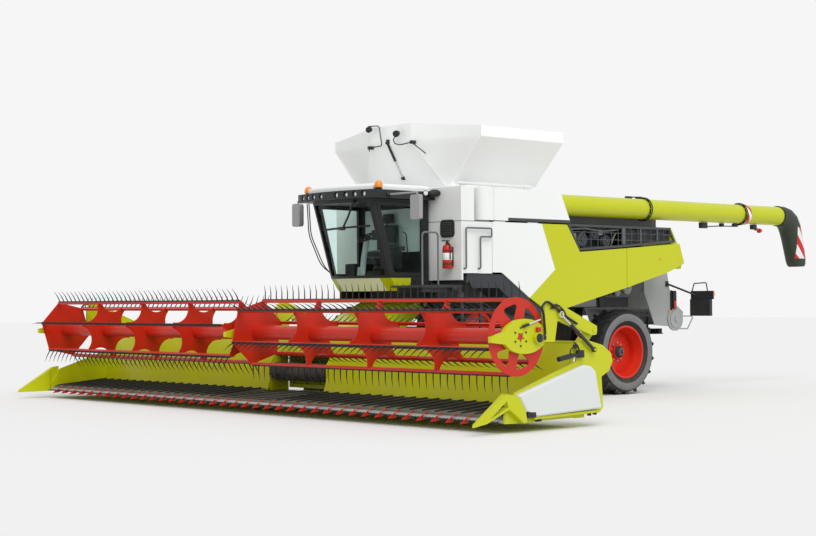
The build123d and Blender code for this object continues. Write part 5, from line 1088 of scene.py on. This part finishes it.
# Reel arms' ends: the reel motor with its pressure lines, and the rod that shifts the reel
makePiece("reel_carrier_lines", trimPlastic, "reel_frame", {
    "rounds": ((((0.052, 0.058), (0.056, 0.064), (0.068, 0.064), (0.0725, 0.054), (0.0728, 0)),
                (6.212, -3.321, 1.313), (1, 0, 0), 20),),
    "boxes": (((6.216, -3.261, 1.283), (6.266, -3.171, 1.343), 0.008),),
    "tubes": [
        (((6.238, -3.235, 1.3), (6.238, -3.165, 1.36), (6.238, -3.2, 1.66), (6.238, -3.245, 1.74),
          (6.238, -3.14, 1.835), (6.238, -3, 1.77), (6.238, -2.72, 1.6), (6.238, -2.5, 1.5)), 0.018, 0.1, 10),
        (((6.232, -3.62, 1.475), (6.232, -3.5, 1.507)), 0.02, 0, 10),
    ] + [
        (((6.232, -3.05 + 0.03 * k, 1.72), (6.236, -2.96 + 0.03 * k, 1.79 - 0.01 * k),
          (6.232, -2.84 + 0.04 * k, 1.76 - 0.03 * k), (6.226, -2.76 + 0.04 * k, 1.6 - 0.03 * k)),
         0.008, 0.07, 8) for k in range(3)
    ],
}, (-1, 1))
makePiece("reel_adjust_rods", rodSteel, "reel_frame", {
    "tubes": ((((6.232, -3.62, 1.475), (6.232, -3.26, 1.57)), 0.012, 0, 10),)}, (-1, 1))
makePiece("reel_motor_ports", redPaint, "reel_frame", {
    "boxes": (((6.216, -3.341, 1.398), (6.261, -3.271, 1.463), 0.006),)}, (-1, 1))

# Header ends: a drive under the arm, a skid with its latch, and feet below the end cover
feet = ((-3.34, 0.172), (-3.29, 0.172), (-2.24, 0.196), (-2.12, 0.204))
makePiece("header_end_drive", trimPlastic, "header", {
    "tubes": (
        (((6.24, -2.9, 1), (6.24, -2.62, 1.045)), 0.038, 0, 18),
        (((6.24, -2.62, 1.045), (6.24, -2.4, 1.055)), 0.026, 0, 14),
        (((6.235, -2.45, 1.1), (6.225, -2.47, 1.19), (6.222, -2.55, 1.23)), 0.011, 0.06, 8),
        (((6.235, -2.66, 1.06), (6.228, -2.62, 1.15), (6.228, -2.52, 1.17)), 0.009, 0.05, 8),
    ),
    "boxes": (
        ((6.205, -2.5, 1.01), (6.265, -2.37, 1.12), 0.01),
        ((6.202, -2.56, 1.145), (6.238, -2.49, 1.205), 0.008),
        ((6.186, -3.59, 0.205), (6.286, -3.41, 0.292), 0.012),
        *(((6.195, y - 0.016, z - 0.03), (6.255, y + 0.016, z + 0.02), 0.005) for y, z in feet),
    ),
    "rounds": ((((0, 0.022), (0.055, 0.022)), (6.236, -3.5, 0.248), (1, 0, 0), 14),),
}, (-1, 1))
makePiece("header_end_rails", limePaint, "header", {
    "tubes": ((((6.236, -3.42, 0.19), (6.236, -2.05, 0.222)), 0.022, 0, 10),)}, (-1, 1))
makePiece("header_end_lock", redPaint, "header", {
    "tubes": ((((6.228, -2.5, 1.375), (6.228, -2.4, 1.3)), 0.022, 0, 14),)}, (-1, 1))
rings = [(*sizes, (x, -3.644, 1.333), acrossX)
         for x in (-6.2155, 6.2155) for sizes in ((6, 0.125, 0.014, 0.016), (5, 0.058, 0.008, 0.014))]
boltPiece("reel_carrier_bolts", rings, castDark, "reel_frame")

# Knife guards in a row along the cutter bar, with the knife's sections between them
knife = {
    "halfWidth": 6.15,
    "pitch": 0.0762,
    "y": -4.005,
    "z": 0.156,
    "guard": (0.017, 0.085, 0.016),
    "section": (0.036, 0.045, 0.003),
    "lift": 0.012,
    "tilt": (0.08, 0, 0),
}
count = int(2 * knife["halfWidth"] / knife["pitch"])
firstX = -knife["pitch"] * (count - 1) / 2
for name, x, lift, size, paint, slot in (
        ("knife_guards", firstX, 0, "guard", castDark, "dark_frame"),
        ("knife_sections", firstX + knife["pitch"] / 2, knife["lift"], "section", zincSteel, "rod_steel")):
    row = (count, (x, knife["y"] + lift, knife["z"] + lift), (knife["pitch"], 0, 0), knife[size], knife["tilt"])
    rowPiece(name, [row], paint, "header")
print("header fitted")

# Track units: bolts on the drive wheels and idlers
rings = [(8, 0.085, 0.013, 0.024, (x, y, z), acrossX)
         for x in (-1.692, 1.692) for y, z in ((0, 1.23), (-0.85, 0.45), (0.95, 0.45))]
boltPiece("track_hub_bolts", rings, zincSteel, "chassis")

# Finishes of the CAD nodes. A name that ends in a star stands for the left one and the right one.
finishNodes = (
    (beltRubber, "draper_belts"),
    (bodyPaint, "upper_body"),
    (cabGlassTint, "cab_door_glass cab_glass"),
    (cabPaint, "cab_door cab_frame"),
    (castDark, "engine"),
    (coverWhite, "grain_tank tank_cover_front tank_cover_rear tank_cover_*"),
    (deckPaint, "access_ladder platform"),
    (endCoverWhite, "header_end_covers"),
    (fairingPaint, "auger_fairing"),
    (fenderPlastic, "track_fenders"),
    (framePaint, "chassis_frame front_axle rear_axle steering_knuckle_* spreader_rotor_* intake_drum"),
    (framePaint, "header_lift_barrels reel_lift_barrels rear_lamp_arms"),
    (greyPaint, "rear_hood"),
    (grillePaint, "engine_grilles"),
    (hoodPaint, "engine_hood"),
    (housingGrey, "threshing_housing"),
    (knifePaint, "cutterbar"),
    (lampGlass, "lamps"),
    (limePaint, "crop_dividers feeder_house header_frame rear_panels reel_arms side_panel_lime_*"),
    (redPaint, "reel_*"),
    (rimRed, "rear_rim_* track_units"),
    (rodSteel, "header_lift_rods reel_lift_rods"),
    (roofPaint, "cab_roof"),
    (shellGrey, "mirrors"),
    (spoutRubber, "auger_spout"),
    (tineBlack, "reel_tines_*"),
    (trackRubber, "track_belts"),
    (trimPlastic, "cab_interior"),
    (tubeLime, "auger_tube"),
    (tyreRubber, "rear_tyre_*"),
    (whitePaint, "side_panel_white_*"),
)
nodeFinish = {}
for paint, names in finishNodes:
    for name in names.split():
        for sideName in ("left", "right"):
            nodeFinish[name.replace("*", sideName)] = paint
for nodeName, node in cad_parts.items():
    node.data.materials.clear()
    node.data.materials.append(nodeFinish[nodeName])
print("finishes on", len(nodeFinish), "nodes")
